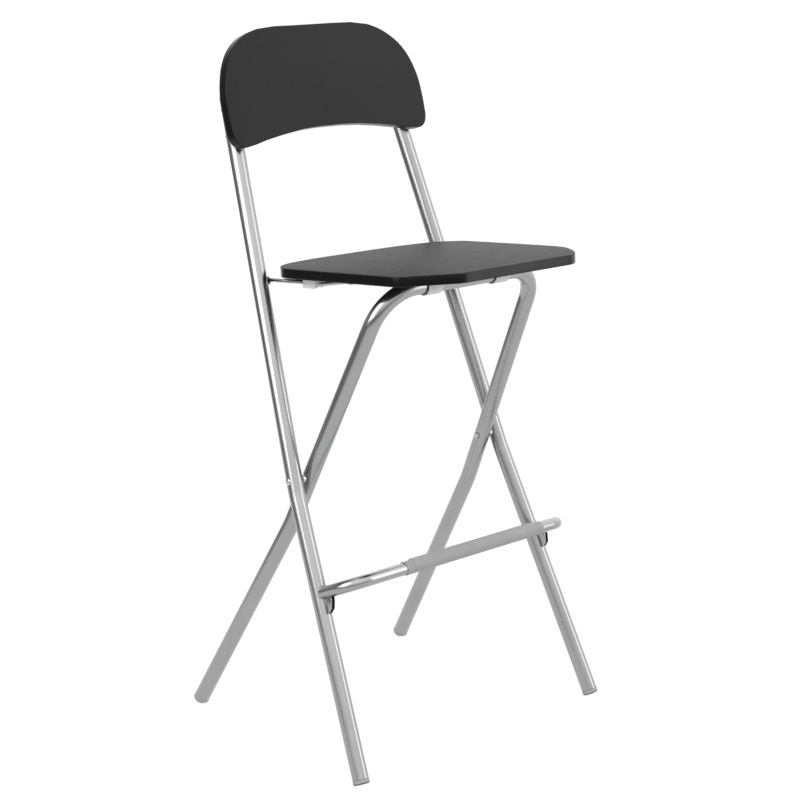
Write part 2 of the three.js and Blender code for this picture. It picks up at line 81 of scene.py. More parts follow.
TUBE_U = unit((0, 0.3475, 0.9377))
back_angle = math.atan2(0.3475, 0.9377) - math.radians(BACK_PITCH)
back_roll = math.radians(BACK_ROLL)
BACK_N = V(0, -math.cos(back_angle), math.sin(back_angle))
BACK_U0 = V(0, math.sin(back_angle), math.cos(back_angle))
BACK_X = V(1, 0, 0) * math.cos(back_roll) + BACK_U0 * math.sin(back_roll)
BACK_U = BACK_U0 * math.cos(back_roll) - V(1, 0, 0) * math.sin(back_roll)
BACK_ORIGIN = V(0, MAIN_HIGH[1], MAIN_HIGH[2]) + BACK_N * (BACK_FRONT - BACK_T)
ARM_DIR = unit((0, -0.911, 0.413))


def main_x(z):
    if z < MAIN_BEND[2]:
        return MAIN_FOOT[0] - 0.0888 * z
    return MAIN_BEND[0] + (MAIN_HIGH[0] - MAIN_BEND[0]) * (z - MAIN_BEND[2]) / (MAIN_HIGH[2] - MAIN_BEND[2])


def on_tube(s, v):
    return V(s * main_x(MAIN_HIGH[2] + v * TUBE_U.z), MAIN_HIGH[1] + v * TUBE_U.y, MAIN_HIGH[2] + v * TUBE_U.z)


def mir(p, s):
    return V(p[0] * s, p[1], p[2])


# ------------------------------------------------------------------ mesh tools
def build(name, verts, faces, keep_open=False):
    """A mesh object from points in millimetres, with its faces turned outwards."""
    me = bpy.data.meshes.new(name)
    me.from_pydata([(v[0] * MM, (v[1] + Y_SHIFT) * MM, (v[2] + Z_SHIFT) * MM) for v in verts], [], faces)
    bm = bmesh.new()
    bm.from_mesh(me)
    bmesh.ops.remove_doubles(bm, verts=bm.verts, dist=1e-7)
    bmesh.ops.recalc_face_normals(bm, faces=bm.faces)
    bm.to_mesh(me)
    bm.free()
    me.update()
    ob = bpy.data.objects.new(name, me)
    scene.collection.objects.link(ob)
    return ob


def apply_modifiers(ob):
    deps = bpy.context.evaluated_depsgraph_get()
    me = bpy.data.meshes.new_from_object(ob.evaluated_get(deps), preserve_all_data_layers=True, depsgraph=deps)
    old = ob.data
    ob.modifiers.clear()
    ob.data = me
    bpy.data.meshes.remove(old)
    return ob


def boolean(ob, tools, operation="DIFFERENCE"):
    """Cuts ob with each tool, or joins them to it, and removes the tools."""
    tools = tools if isinstance(tools, (list, tuple)) else [tools]
    for t in tools:
        mod = ob.modifiers.new("cut", "BOOLEAN")
        mod.operation, mod.object, mod.solver = operation, t, "EXACT"
        apply_modifiers(ob)
        me = t.data
        bpy.data.objects.remove(t)
        bpy.data.meshes.remove(me)
    return ob


def bevel(ob, width, segments=3, angle=35):
    mod = ob.modifiers.new("bevel", "BEVEL")
    mod.width, mod.segments, mod.limit_method = width * MM, segments, "ANGLE"
    mod.angle_limit = math.radians(angle)
    mod.harden_normals = False
    mod.use_clamp_overlap = True
    return apply_modifiers(ob)


def shade(ob, angle=32):
    me = ob.data
    me.polygons.foreach_set("use_smooth", [True] * len(me.polygons))
    me.set_sharp_from_angle(angle=math.radians(angle))
    me.update()
    return ob


def piece(ob, body, material, replaces=(), angle=32, smooth=True):
    """Gives a finished mesh its place in the assembly."""
    mats = material if isinstance(material, (list, tuple)) else [material]
    ob.data.materials.clear()
    for mt in mats:
        ob.data.materials.append(mt)
    if smooth:
        shade(ob, angle)
    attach(ob, body)
    if replaces:
        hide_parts(*([replaces] if isinstance(replaces, str) else replaces))
    return ob


# ------------------------------------------------------------------ tubes
def route(points, radii, step=3.0, longest=45.0):
    """A polyline with filleted corners, as stations (point, tangent)."""
    p = [V(a) for a in points]
    st = []
    for i, q in enumerate(p):
        if i == 0:
            st.append((q.copy(), (p[1] - q).normalized()))
        elif i == len(p) - 1:
            st.append((q.copy(), (q - p[i - 1]).normalized()))
        else:
            a, b = (q - p[i - 1]).normalized(), (p[i + 1] - q).normalized()
            angle, R = a.angle(b), radii[i - 1]
            t = R * math.tan(angle / 2)
            centre = q + (b - a).normalized() * (R / math.cos(angle / 2))
            start = q - a * t - centre
            axis = a.cross(b).normalized()
            n = max(2, math.ceil(math.degrees(angle) / step))
            for k in range(n + 1):
                turn = Quaternion(axis, angle * k / n)
                st.append((centre + turn @ start, turn @ a))
    out = [st[0]]
    for (p0, t0), (p1, t1) in zip(st, st[1:]):
        gap = (p1 - p0).length
        n = max(1, math.ceil(gap / longest))
        for k in range(1, n):
            out.append((p0.lerp(p1, k / n), t0.lerp(t1, k / n).normalized()))
        out.append((p1, t1))
    return out


def frames(st):
    """Unit vectors across each station, carried along without twist."""
    t = st[0][1]
    n = t.cross(V(0, 0, 1) if abs(t.z) < 0.9 else V(0, 1, 0)).normalized()
    out = []
    for _, t1 in st:
        n = t.rotation_difference(t1) @ n
        n = (n - t1 * n.dot(t1)).normalized()
        t = t1
        out.append((n, t1.cross(n)))
    return out


def sweep(name, st, r, hole=0.0, sides=TUBE_SIDES, lip=0.35):
    """A tube or rod along the stations, with the edges of its ends rounded by lip."""
    fr = frames(st)

    def circle(k, rad, slide=0.0):
        p, t = st[k]
        n, b = fr[k]
        c = p + t * slide
        return [c + n * (rad * math.cos(2 * math.pi * i / sides)) + b * (rad * math.sin(2 * math.pi * i / sides)) for i in range(sides)]

    last = len(st) - 1
    arc = [(lip * (1 - math.cos(a)), lip * (1 - math.sin(a))) for a in (0, math.pi / 6, math.pi / 3, math.pi / 2)]
    rings = []
    for slide, cut in arc:  # from the end face outwards onto the wall
        rings.append(circle(0, r - cut, slide))
    for k in range(1, last):
        rings.append(circle(k, r))
    for slide, cut in reversed(arc):
        rings.append(circle(last, r - cut, -slide))
    if hole:
        for slide, cut in arc:
            rings.append(circle(last, hole + cut, -slide))
        for k in range(last - 1, 0, -1):
            rings.append(circle(k, hole))
        for slide, cut in reversed(arc):
            rings.append(circle(0, hole + cut, slide))
    verts = [v for ring in rings for v in ring]
    faces = []
    m = len(rings)
    for j in range(m if hole else m - 1):
        a, b = j * sides, ((j + 1) % m) * sides
        for i in range(sides):
            i2 = (i + 1) % sides
            faces.append((a + i, a + i2, b + i2, b + i))
    if not hole:
        faces.append(tuple(range(sides))[::-1])
        faces.append(tuple((m - 1) * sides + i for i in range(sides)))
    return build(name, verts, faces)


def tube_finish(ob, st, r, hole=0.0):
    """Stores where each point lies on the straightened tube, and gives the walls the normals of a true round tube."""
    me = ob.data
    shade(ob, 32)
    n = len(me.vertices)
    co = np.empty(n * 3)
    me.vertices.foreach_get("co", co)
    co = co.reshape(-1, 3) / MM
    co[:, 1] -= Y_SHIFT
    co[:, 2] -= Z_SHIFT
    P = np.array([tuple(p) for p, _ in st])
    T = np.array([tuple(t) for _, t in st])
    fr = frames(st)
    N = np.array([tuple(a) for a, _ in fr])
    B = np.array([tuple(b) for _, b in fr])
    seg = P[1:] - P[:-1]
    L = np.linalg.norm(seg, axis=1)
    S = np.concatenate([[0], np.cumsum(L)])
    best = np.full(n, 1e9)
    radial, flat = np.zeros((n, 3)), np.zeros((n, 3))
    for k in range(len(seg)):
        # planes square to the tangents bound the piece of tube between two stations
        d0, d1 = ((co - P[k]) * T[k]).sum(1), ((co - P[k + 1]) * T[k + 1]).sum(1)
        span = d0 - d1
        f = np.clip(d0 / np.where(np.abs(span) < 1e-9, 1e-9, span), 0, 1)
        c = P[k] + f[:, None] * seg[k]
        # the arc's own centreline bulges a little from the chord
        t = T[k] * (1 - f)[:, None] + T[k + 1] * f[:, None]
        t /= np.linalg.norm(t, axis=1)[:, None]
        off = co - c
        off -= (off * t).sum(1)[:, None] * t
        miss = np.abs(np.clip(d0, None, 0)) + np.abs(np.clip(d1, 0, None))
        score = miss * 10 + np.abs(np.linalg.norm(off, axis=1) - r) * 0.01
        better = score < best - 1e-9
        best = np.where(better, score, best)
        rl = np.linalg.norm(off, axis=1)
        u = off / np.maximum(rl, 1e-9)[:, None]
        nn = N[k] * (1 - f)[:, None] + N[k + 1] * f[:, None]
        bb = B[k] * (1 - f)[:, None] + B[k + 1] * f[:, None]
        local = np.stack([(off * nn).sum(1), (off * bb).sum(1), S[k] + f * L[k]], 1)
        radial[better] = u[better]
        flat[better] = local[better]
    at = me.attributes.new("straight", "FLOAT_VECTOR", "POINT")
    at.data.foreach_set("vector", (flat * MM).astype(np.float32).ravel())

    loops = len(me.loops)
    vi = np.empty(loops, np.int32)
    me.loops.foreach_get("vertex_index", vi)
    nor = np.empty(loops * 3, np.float32)
    me.corner_normals.foreach_get("vector", nor)
    nor = nor.reshape(-1, 3)
    fn = np.empty(len(me.polygons) * 3, np.float32)
    me.polygons.foreach_get("normal", fn)
    fn = fn.reshape(-1, 3)
    total = np.empty(len(me.polygons), np.int32)
    me.polygons.foreach_get("loop_total", total)
    face = np.repeat(np.arange(len(me.polygons)), total)
    rad = np.linalg.norm(flat[:, :2], axis=1)[vi]
    along = (fn[face] * radial[vi]).sum(1)
    outer = (np.abs(rad - r) < 0.12) & (along > 0.96)
    nor[outer] = radial[vi][outer]
    if hole:
        inner = (np.abs(rad - hole) < 0.12) & (along < -0.96)
        nor[inner] = -radial[vi][inner]
    me.normals_split_custom_set(nor.tolist())
    me.update()
    return ob


# ------------------------------------------------------------------ turned shapes
def soften(rows, radius, segments=3):
    """Rounds the corners of a profile of (along, radius) rows."""
    pts = [V(a, b) for a, b in rows]
    out = [pts[0]]
    for i in range(1, len(pts) - 1):
        q = pts[i]
        a, b = q - pts[i - 1], pts[i + 1] - q
        la, lb = a.length, b.length
        if la < 1e-6 or lb < 1e-6 or a.angle(b) < 0.12:
            out.append(q)
            continue
        ang = a.angle(b)
        t = min(radius * math.tan(ang / 2), la * 0.45, lb * 0.45)
        p0, p1 = q - a.normalized() * t, q + b.normalized() * t
        for k in range(segments + 1):
            f = k / segments
            out.append(p0 * (1 - f) ** 2 + q * (2 * f * (1 - f)) + p1 * f * f)
    out.append(pts[-1])
    return [(p.x, p.y) for p in out]


def lathe(name, a, b, rows, sides=48, round_by=0.0, wobble=None):
    """A solid turned about the line from a towards b; rows are (distance along, radius), from axis to axis."""
    a = V(a)
    d = (V(b) - a).normalized()
    if round_by:
        rows = soften(rows, round_by)
    n = d.cross(V(0, 0, 1) if abs(d.z) < 0.9 else V(0, 1, 0)).normalized()
    w = d.cross(n)
    verts, faces, index = [], [], []
    for h, r in rows:
        c = a + d * h
        if r < 1e-6:
            index.append([len(verts)])
            verts.append(c)
        else:
            index.append(list(range(len(verts), len(verts) + sides)))
            for i in range(sides):
                f = 2 * math.pi * i / sides
                verts.append(c + n * (r * math.cos(f)) + w * (r * math.sin(f)))
    for p, q in zip(index, index[1:]):
        for i in range(sides):
            j = (i + 1) % sides
            if len(p) == 1 and len(q) == 1:
                continue
            if len(p) == 1:
                faces.append((p[0], q[i], q[j]))
            elif len(q) == 1:
                faces.append((p[i], q[0], p[j]))
            else:
                faces.append((p[i], q[i], q[j], p[j]))
    return build(name, verts, faces)


def rod(a, b, r, sides=48):
    L = (V(b) - V(a)).length
    return lathe("tool", a, b, [(0, 0), (0, r), (L, r), (L, 0)], sides)


# ------------------------------------------------------------------ slabs
def smooth_loop(points, spacing=2.5, lead=6.0, long=22.0):
    """A closed smooth curve through the points, with its long sides kept straight."""
    pts = []
    n = len(points)
    for i in range(n):
        a, b = V(points[i]), V(points[(i + 1) % n])
        pts.append(a)
        gap = (b - a).length
        if gap > long:
            pts.append(a.lerp(b, lead / gap))
            pts.append(a.lerp(b, 0.5))
            pts.append(a.lerp(b, 1 - lead / gap))
    out = []
    n = len(pts)
    for i in range(n):
        p0, p1, p2, p3 = (pts[(i + k - 1) % n] for k in range(4))
        t0 = 0.0
        t1 = t0 + max((p1 - p0).length, 1e-6) ** 0.5
        t2 = t1 + max((p2 - p1).length, 1e-6) ** 0.5
        t3 = t2 + max((p3 - p2).length, 1e-6) ** 0.5
        m = max(1, round((p2 - p1).length / spacing))
        for k in range(m):
            t = t1 + (t2 - t1) * k / m
            a1 = p0 * ((t1 - t) / (t1 - t0)) + p1 * ((t - t0) / (t1 - t0))
            a2 = p1 * ((t2 - t) / (t2 - t1)) + p2 * ((t - t1) / (t2 - t1))
            a3 = p2 * ((t3 - t) / (t3 - t2)) + p3 * ((t - t2) / (t3 - t2))
            b1 = a1 * ((t2 - t) / (t2 - t0)) + a2 * ((t - t0) / (t2 - t0))
            b2 = a2 * ((t3 - t) / (t3 - t1)) + a3 * ((t - t1) / (t3 - t1))
            out.append(b1 * ((t2 - t) / (t2 - t1)) + b2 * ((t - t1) / (t2 - t1)))
    return out


def fillet_loop(points, radii, segments=6):
    """A polygon with rounded corners."""
    out = []
    n = len(points)
    for i in range(n):
        q, a0, b0 = V(points[i]), V(points[i - 1]), V(points[(i + 1) % n])
        R = radii[i] if isinstance(radii, (list, tuple)) else radii
        if R <= 0:
            out.append(q)
            continue
        a, b = (q - a0), (b0 - q)
        ang = a.angle(b)
        if ang < 0.02:
            out.append(q)
            continue
        t = min(R * math.tan(ang / 2), a.length * 0.48, b.length * 0.48)
        p0, p1 = q - a.normalized() * t, q + b.normalized() * t
        for k in range(segments + 1):
            f = k / segments
            out.append(p0 * (1 - f) ** 2 + q * (2 * f * (1 - f)) + p1 * f * f)
    return out


def slab(name, loop, thick, origin, u, v, edge=0.0, segments=6, band=False, lift=0.0):
    """A flat shape with rounded edges: loop in (u, v), thickened along u x v from origin."""
    u, v = unit(u), unit(v)
    w = u.cross(v)
    o = V(origin) + w * lift
    loop = [V(p) for p in loop]
    area = sum(a.x * b.y - a.y * b.x for a, b in zip(loop, loop[1:] + loop[:1]))
    if area < 0:
        loop.reverse()
    n = len(loop)
    normal = []
    for i in range(n):
        a, b = (loop[i] - loop[i - 1]), (loop[(i + 1) % n] - loop[i])
        na, nb = V(a.y, -a.x).normalized(), V(b.y, -b.x).normalized()
        s = na + nb
        s = s.normalized() if s.length > 1e-6 else na
        normal.append(s / max(0.5, s.dot(na)))
    levels = []
    if edge > 0:
        for k in range(segments + 1):
            a = math.pi / 2 * k / segments
            levels.append((edge * (1 - math.cos(a)), edge * (1 - math.sin(a)), k / segments))
        levels += [(thick - h, cut, f) for h, cut, f in reversed(levels)]
    else:
        levels = [(0, 0, 1), (thick, 0, 1)]
    verts, marks = [], []
    for h, cut, f in levels:
        for p, q in zip(loop, normal):
            c = p - q * cut
            verts.append(o + u * c.x + v * c.y + w * h)
            marks.append(f)
    faces = [tuple(range(n))[::-1], tuple((len(levels) - 1) * n + i for i in range(n))]
    for j in range(len(levels) - 1):
        for i in range(n):
            i2 = (i + 1) % n
            faces.append((j * n + i, j * n + i2, (j + 1) * n + i2, (j + 1) * n + i))
    ob = build(name, verts, faces)
    if band and len(ob.data.vertices) == len(marks):
        at = ob.data.attributes.new("band", "FLOAT", "POINT")
        at.data.foreach_set("value", np.array(marks, np.float32))
    return ob


# ------------------------------------------------------------------ materials
class Nodes:
    def __init__(self, tree):
        self.t = tree
        tree.nodes.clear()

    def add(self, kind, **sockets):
        n = self.t.nodes.new(kind)
        for k, val in sockets.items():
            self.put(n.inputs[k.replace("_", " ") if k.replace("_", " ") in n.inputs else k], val)
        return n

    def put(self, socket, val):
        if isinstance(val, bpy.types.NodeSocket):
            self.t.links.new(val, socket)
        else:
            socket.default_value = val

    def math(self, op, a, b=None, c=None, clamp=False):
        n = self.t.nodes.new("ShaderNodeMath")
        n.operation, n.use_clamp = op, clamp
        for s, val in zip(n.inputs, (a, b, c)):
            if val is not None:
                self.put(s, val)
        return n.outputs[0]

    def noise(self, vector, scale, detail=3.0, rough=0.55, lacunarity=2.0, distortion=0.0):
        n = self.t.nodes.new("ShaderNodeTexNoise")
        self.put(n.inputs["Vector"], vector)
        for k, val in (("Scale", scale), ("Detail", detail), ("Roughness", rough), ("Lacunarity", lacunarity), ("Distortion", distortion)):
            self.put(n.inputs[k], val)
        return n.outputs["Fac"]

    def voronoi(self, vector, scale, feature="F1"):
        n = self.t.nodes.new("ShaderNodeTexVoronoi")
        n.feature = feature
        self.put(n.inputs["Vector"], vector)
        self.put(n.inputs["Scale"], scale)
        return n

    def scaled(self, vector, factors):
        n = self.t.nodes.new("ShaderNodeVectorMath")
        n.operation = "MULTIPLY"
        self.put(n.inputs[0], vector)
        n.inputs[1].default_value = factors
        return n.outputs[0]

    def span(self, val, lo, hi, to_lo, to_hi, kind="LINEAR"):
        n = self.t.nodes.new("ShaderNodeMapRange")
        n.interpolation_type = kind
        for k, x in (("Value", val), ("From Min", lo), ("From Max", hi), ("To Min", to_lo), ("To Max", to_hi)):
            self.put(n.inputs[k], x)
        return n.outputs["Result"]

    def ramp(self, fac, stops):
        n = self.t.nodes.new("ShaderNodeValToRGB")
        self.put(n.inputs[0], fac)
        els = n.color_ramp.elements
        while len(els) < len(stops):
            els.new(0.5)
        for e, (pos, c) in zip(els, stops):
            e.position = pos
            e.color = (*c, 1) if isinstance(c, (tuple, list)) else (c, c, c, 1)
        return n.outputs["Color"]

    def mix(self, fac, a, b, blend="MIX"):
        n = self.t.nodes.new("ShaderNodeMix")
        n.data_type, n.blend_type = "RGBA", blend
        n.clamp_result = False
        self.put(n.inputs[0], fac)
        for s, val in ((n.inputs[6], a), (n.inputs[7], b)):
            self.put(s, (*val, 1) if isinstance(val, tuple) and len(val) == 3 else (val, val, val, 1) if isinstance(val, float) else val)
        return n.outputs[2]

    def bump(self, height, strength, distance, normal=None):
        n = self.t.nodes.new("ShaderNodeBump")
        self.put(n.inputs["Height"], height)
        n.inputs["Strength"].default_value = strength
        n.inputs["Distance"].default_value = distance
        if normal is not None:
            self.put(n.inputs["Normal"], normal)
        return n.outputs["Normal"]

    def surface(self, base, rough, normal=None, **fixed):
        n = self.t.nodes.new("ShaderNodeBsdfPrincipled")
        self.put(n.inputs["Base Color"], (*base, 1) if isinstance(base, tuple) else base)
        self.put(n.inputs["Roughness"], rough)
        if normal is not None:
            self.put(n.inputs["Normal"], normal)
        for k, val in fixed.items():
            n.inputs[k.replace("_", " ")].default_value = val
        out = self.t.nodes.new("ShaderNodeOutputMaterial")
        self.t.links.new(n.outputs[0], out.inputs["Surface"])
        return n


def material(name):
    mt = bpy.data.materials.new(name)
    mt.use_nodes = True
    return mt, Nodes(mt.node_tree)


def object_coords(k):
    return k.t.nodes.new("ShaderNodeTexCoord").outputs["Object"]


def straight_coords(k):
    n = k.t.nodes.new("ShaderNodeAttribute")
    n.attribute_name = "straight"
    return n.outputs["Vector"]


TUBE_REFLECT, TUBE_ROUGH = 0.352, 0.22
BOARD_SPECULAR = 0.23


def make_tube_paint(name="tube_paint", reflect=TUBE_REFLECT, rough=TUBE_ROUGH, coords=straight_coords):
    """Satin silver: fine metallic grain, faint lengthwise drawing marks, slow cloudiness."""
    mt, k = material(name)
    at = coords(k)
    grain = k.noise(at, 2600.0, 2.0, 0.6)
    flakes = k.voronoi(at, 3400.0).outputs["Color"]
    cloud = k.noise(at, 16.0, 3.0, 0.5)
    drawn = k.noise(k.scaled(at, (2200.0, 2200.0, 14.0)), 1.0, 2.0, 0.6)
    tone = k.math("ADD", k.span(grain, 0.3, 0.7, -0.030, 0.030), k.span(cloud, 0.3, 0.7, -0.014, 0.014))
    tone = k.math("ADD", tone, k.span(flakes, 0.0, 1.0, -0.020, 0.020))
    tone = k.math("ADD", tone, k.span(drawn, 0.3, 0.7, -0.010, 0.010))
    value = k.math("ADD", tone, reflect)
    comb = k.t.nodes.new("ShaderNodeCombineColor")
    k.put(comb.inputs[0], k.math("MULTIPLY", value, 0.998))
    k.put(comb.inputs[1], value)
    k.put(comb.inputs[2], k.math("MULTIPLY", value, 1.004))
    r = k.math("ADD", k.span(cloud, 0.3, 0.7, -0.012, 0.012), k.span(drawn, 0.3, 0.7, -0.012, 0.012))
    r = k.math("ADD", r, rough)
    h = k.math("ADD", k.math("MULTIPLY", grain, 0.6), k.math("MULTIPLY", drawn, 0.4))
    k.surface(comb.outputs[0], r, k.bump(h, 0.10, 0.00002), Metallic=1.0)
    return mt


def make_steel(name, reflect, rough, rings=False):
    """Plated steel with a fine brushed finish and a few handling marks."""
    mt, k = material(name)
    at = object_coords(k)
    fine = k.noise(k.scaled(at, (5200.0, 900.0, 900.0)), 1.0, 3.0, 0.6)
    blot = k.noise(at, 220.0, 3.0, 0.5)
    marks = k.noise(k.scaled(at, (400.0, 3000.0, 1600.0)), 1.0, 2.0, 0.5, distortion=0.6)
    tone = k.math("ADD", k.span(fine, 0.3, 0.7, -0.03, 0.03), k.span(blot, 0.3, 0.7, -0.03, 0.03))
    value = k.math("ADD", tone, reflect)
    comb = k.t.nodes.new("ShaderNodeCombineColor")
    for i, f in enumerate((1.0, 0.998, 0.985)):
        k.put(comb.inputs[i], k.math("MULTIPLY", value, f))
    r = k.math("ADD", k.span(marks, 0.45, 0.75, 0.0, 0.12), rough)
    k.surface(comb.outputs[0], r, k.bump(fine, 0.18, 0.00003), Metallic=1.0)
    return mt


def make_wire():
    mt, k = material("bright_wire_finish")
    at = straight_coords(k)
    drawn = k.noise(k.scaled(at, (4200.0, 4200.0, 30.0)), 1.0, 2.0, 0.6)
    blot = k.noise(at, 90.0, 3.0, 0.5)
    value = k.math("ADD", k.math("ADD", k.span(drawn, 0.3, 0.7, -0.03, 0.03), k.span(blot, 0.3, 0.7, -0.02, 0.02)), 0.47)
    comb = k.t.nodes.new("ShaderNodeCombineColor")
    for i, f in enumerate((1.0, 1.0, 0.995)):
        k.put(comb.inputs[i], k.math("MULTIPLY", value, f))
    r = k.math("ADD", k.span(drawn, 0.3, 0.7, -0.02, 0.03), 0.16)
    k.surface(comb.outputs[0], r, k.bump(drawn, 0.10, 0.00002), Metallic=1.0)
    return mt


def make_board():
    """Black laminate: a fine pressed texture on the faces, smoother edging round the sides."""
    mt, k = material("board_laminate_finish")
    at = object_coords(k)
    band_node = k.t.nodes.new("ShaderNodeAttribute")
    band_node.attribute_name = "band"
    band = k.span(band_node.outputs["Fac"], 0.55, 0.95, 0.0, 1.0, "SMOOTHSTEP")
    pebble = k.voronoi(at, 1500.0, "SMOOTH_F1").outputs["Distance"]
    fine = k.noise(at, 2300.0, 3.0, 0.6)
    slow = k.noise(at, 9.0, 4.0, 0.55)
    mid = k.noise(at, 60.0, 4.0, 0.6)
    face = k.ramp(k.math("ADD", k.math("MULTIPLY", slow, 0.6), k.math("MULTIPLY", mid, 0.4)),
                  [(0.30, 0.0058), (0.70, 0.0112)])
    side = k.ramp(mid, [(0.3, 0.0009), (0.7, 0.0015)])
    base = k.mix(band, face, side)
    rough_face = k.math("ADD", k.span(mid, 0.3, 0.7, -0.035, 0.035), k.span(fine, 0.3, 0.7, 0.51, 0.59))
    rough_side = k.span(mid, 0.3, 0.7, 0.23, 0.29)
    mixr = k.t.nodes.new("ShaderNodeMix")
    mixr.data_type = "FLOAT"
    k.put(mixr.inputs[0], band)
    k.put(mixr.inputs[2], rough_face)
    k.put(mixr.inputs[3], rough_side)
    height = k.math("ADD", k.math("MULTIPLY", pebble, 0.7), k.math("MULTIPLY", fine, 0.3))
    height = k.math("MULTIPLY", height, k.math("SUBTRACT", 1.0, k.math("MULTIPLY", band, 0.8)))
    k.surface(base, mixr.outputs[0], k.bump(height, 0.30, 0.00008), Specular_IOR_Level=BOARD_SPECULAR)
    return mt


def make_plastic(name, tone, rough, grain=1900.0, depth=0.22, warm=0.0, sole_shade=False, **fixed):
    """Moulded plastic with a spark-eroded texture and faint flow marks; with sole_shade set, its last few millimetres
    above the floor are darkened as painted shade.
    """
    mt, k = material(name)
    at = object_coords(k)
    tex = k.noise(at, grain, 3.0, 0.6)
    flow = k.noise(k.scaled(at, (30.0, 60.0, 60.0)), 1.0, 3.0, 0.5)
    lo, hi = tone * 0.955, tone * 1.045
    value = k.math("ADD", k.span(flow, 0.3, 0.7, lo, hi), k.span(tex, 0.3, 0.7, -0.02 * tone, 0.02 * tone))
    if sole_shade:
        # painted shade: darkens the bottom few millimetres of the foot, where it meets the floor, as a contact shadow
        # would
        sole = k.t.nodes.new("ShaderNodeAttribute")
        sole.attribute_name = "sole"
        bottom_shade = k.math("ADD", sole.outputs["Fac"], k.span(flow, 0.3, 0.7, -0.04, 0.04))
        value = k.math("MULTIPLY", value, k.span(bottom_shade, 0.08, 0.38, 1.0, 0.26, "SMOOTHSTEP"))
    comb = k.t.nodes.new("ShaderNodeCombineColor")
    for i, f in enumerate((1.0 + warm, 1.0, 1.0 - warm)):
        k.put(comb.inputs[i], k.math("MULTIPLY", value, f))
    r = k.math("ADD", k.span(tex, 0.3, 0.7, -0.03, 0.03), rough)
    k.surface(comb.outputs[0], r, k.bump(tex, depth, 0.00006), **fixed)
    return mt


TUBE = make_tube_paint()
SHEET = make_tube_paint("gusset_paint", TUBE_REFLECT, 0.22, object_coords)
STEEL = make_steel("bright_steel_finish", 0.58, 0.24)
WIRE = make_wire()
BOARD = make_board()
SLEEVE = make_plastic("sleeve_plastic_finish", 0.262, 0.62, 1500.0, 0.30)
# the feet carry painted shade at their bottom edge
FOOT = make_plastic("foot_plastic_finish", 0.265, 0.55, sole_shade=True)
CLIP = make_plastic("clip_plastic_finish", 0.55, 0.42, **{"Subsurface_Weight": 0.0})
SNAP = make_plastic("snap_plastic_finish", 0.80, 0.35, 2200.0, 0.10, Transmission_Weight=0.45, IOR=1.46)
DARK = make_plastic("dark_plastic_finish", 0.012, 0.42)
# near-black inside of the gusset channel: painted shade, on top of the darker unpainted steel there
INSIDE_SHADE = make_plastic("unpainted_and_shaded_inside", 0.010, 0.75)

# ------------------------------------------------------------------ main tubes and what is on them
BACK_RIGHT = [
    (40, 73.7), (80, 73.2), (114.5, 68.6), (134.5, 61.8), (148.5, 54.9), (162.8, 45.3), (175.4, 34.3), (187.9, 18), (196.4, -0.1),
    (202, -20), (204.2, -38), (204.4, -62), (203.2, -85), (199.2, -96.9), (193.8, -102.9), (188.3, -105.8), (179.7, -106.7),
    (160.9, -104.6), (138.8, -100.4), (98.5, -94.4), (60.3, -90), (25.1, -88.1),
]
BACK_LEFT = [
    (40, 73.6), (80, 73.9), (115, 71.2), (136, 65.6), (150.9, 59), (165.5, 48.7), (177.3, 36), (188.2, 18.1), (195.5, -0.5),
    (200.8, -20.2), (203, -38), (203.5, -62), (203, -85), (199.6, -96.9), (194.9, -103.8), (188.8, -107.8), (179.6, -107.9),
    (160.8, -105.1), (138.8, -100.2), (98.6, -93.7), (60.3, -89.2), (25.1, -87.7),
]
MAIN_STATIONS = {}


def cross_recess(at, d, depth, size):
    """Two crossed tapering wedges, to cut a driver recess."""
    d = unit(d)
    n = d.cross(V(0, 0, 1) if abs(d.z) < 0.9 else V(0, 1, 0)).normalized()
    w = d.cross(n)
    tools = []
    for a, b in ((n, w), (w, n)):
        verts, faces = [], []
        for h, half, t in ((-0.6, size * 1.1, size * 0.24), (depth, size * 0.45, size * 0.16)):
            for x, y in ((-1, -1), (1, -1), (1, 1), (-1, 1)):
                verts.append(V(at) + d * h + a * (x * half) + b * (y * t))
        faces = [(0, 1, 2, 3), (4, 5, 6, 7), (0, 1, 5, 4), (1, 2, 6, 5), (2, 3, 7, 6), (3, 0, 4, 7)]
        tools.append(build("tool", verts, faces))
    return tools


def screw(name, top, towards, rows, replaces, body, recess=2.1, depth=1.3):
    ob = lathe(name, top, towards, soften(rows, 0.25, 3), 40)
    d = V(towards) - V(top)
    boolean(ob, cross_recess(top, d, depth, recess))
    return piece(ob, body, STEEL, replaces)


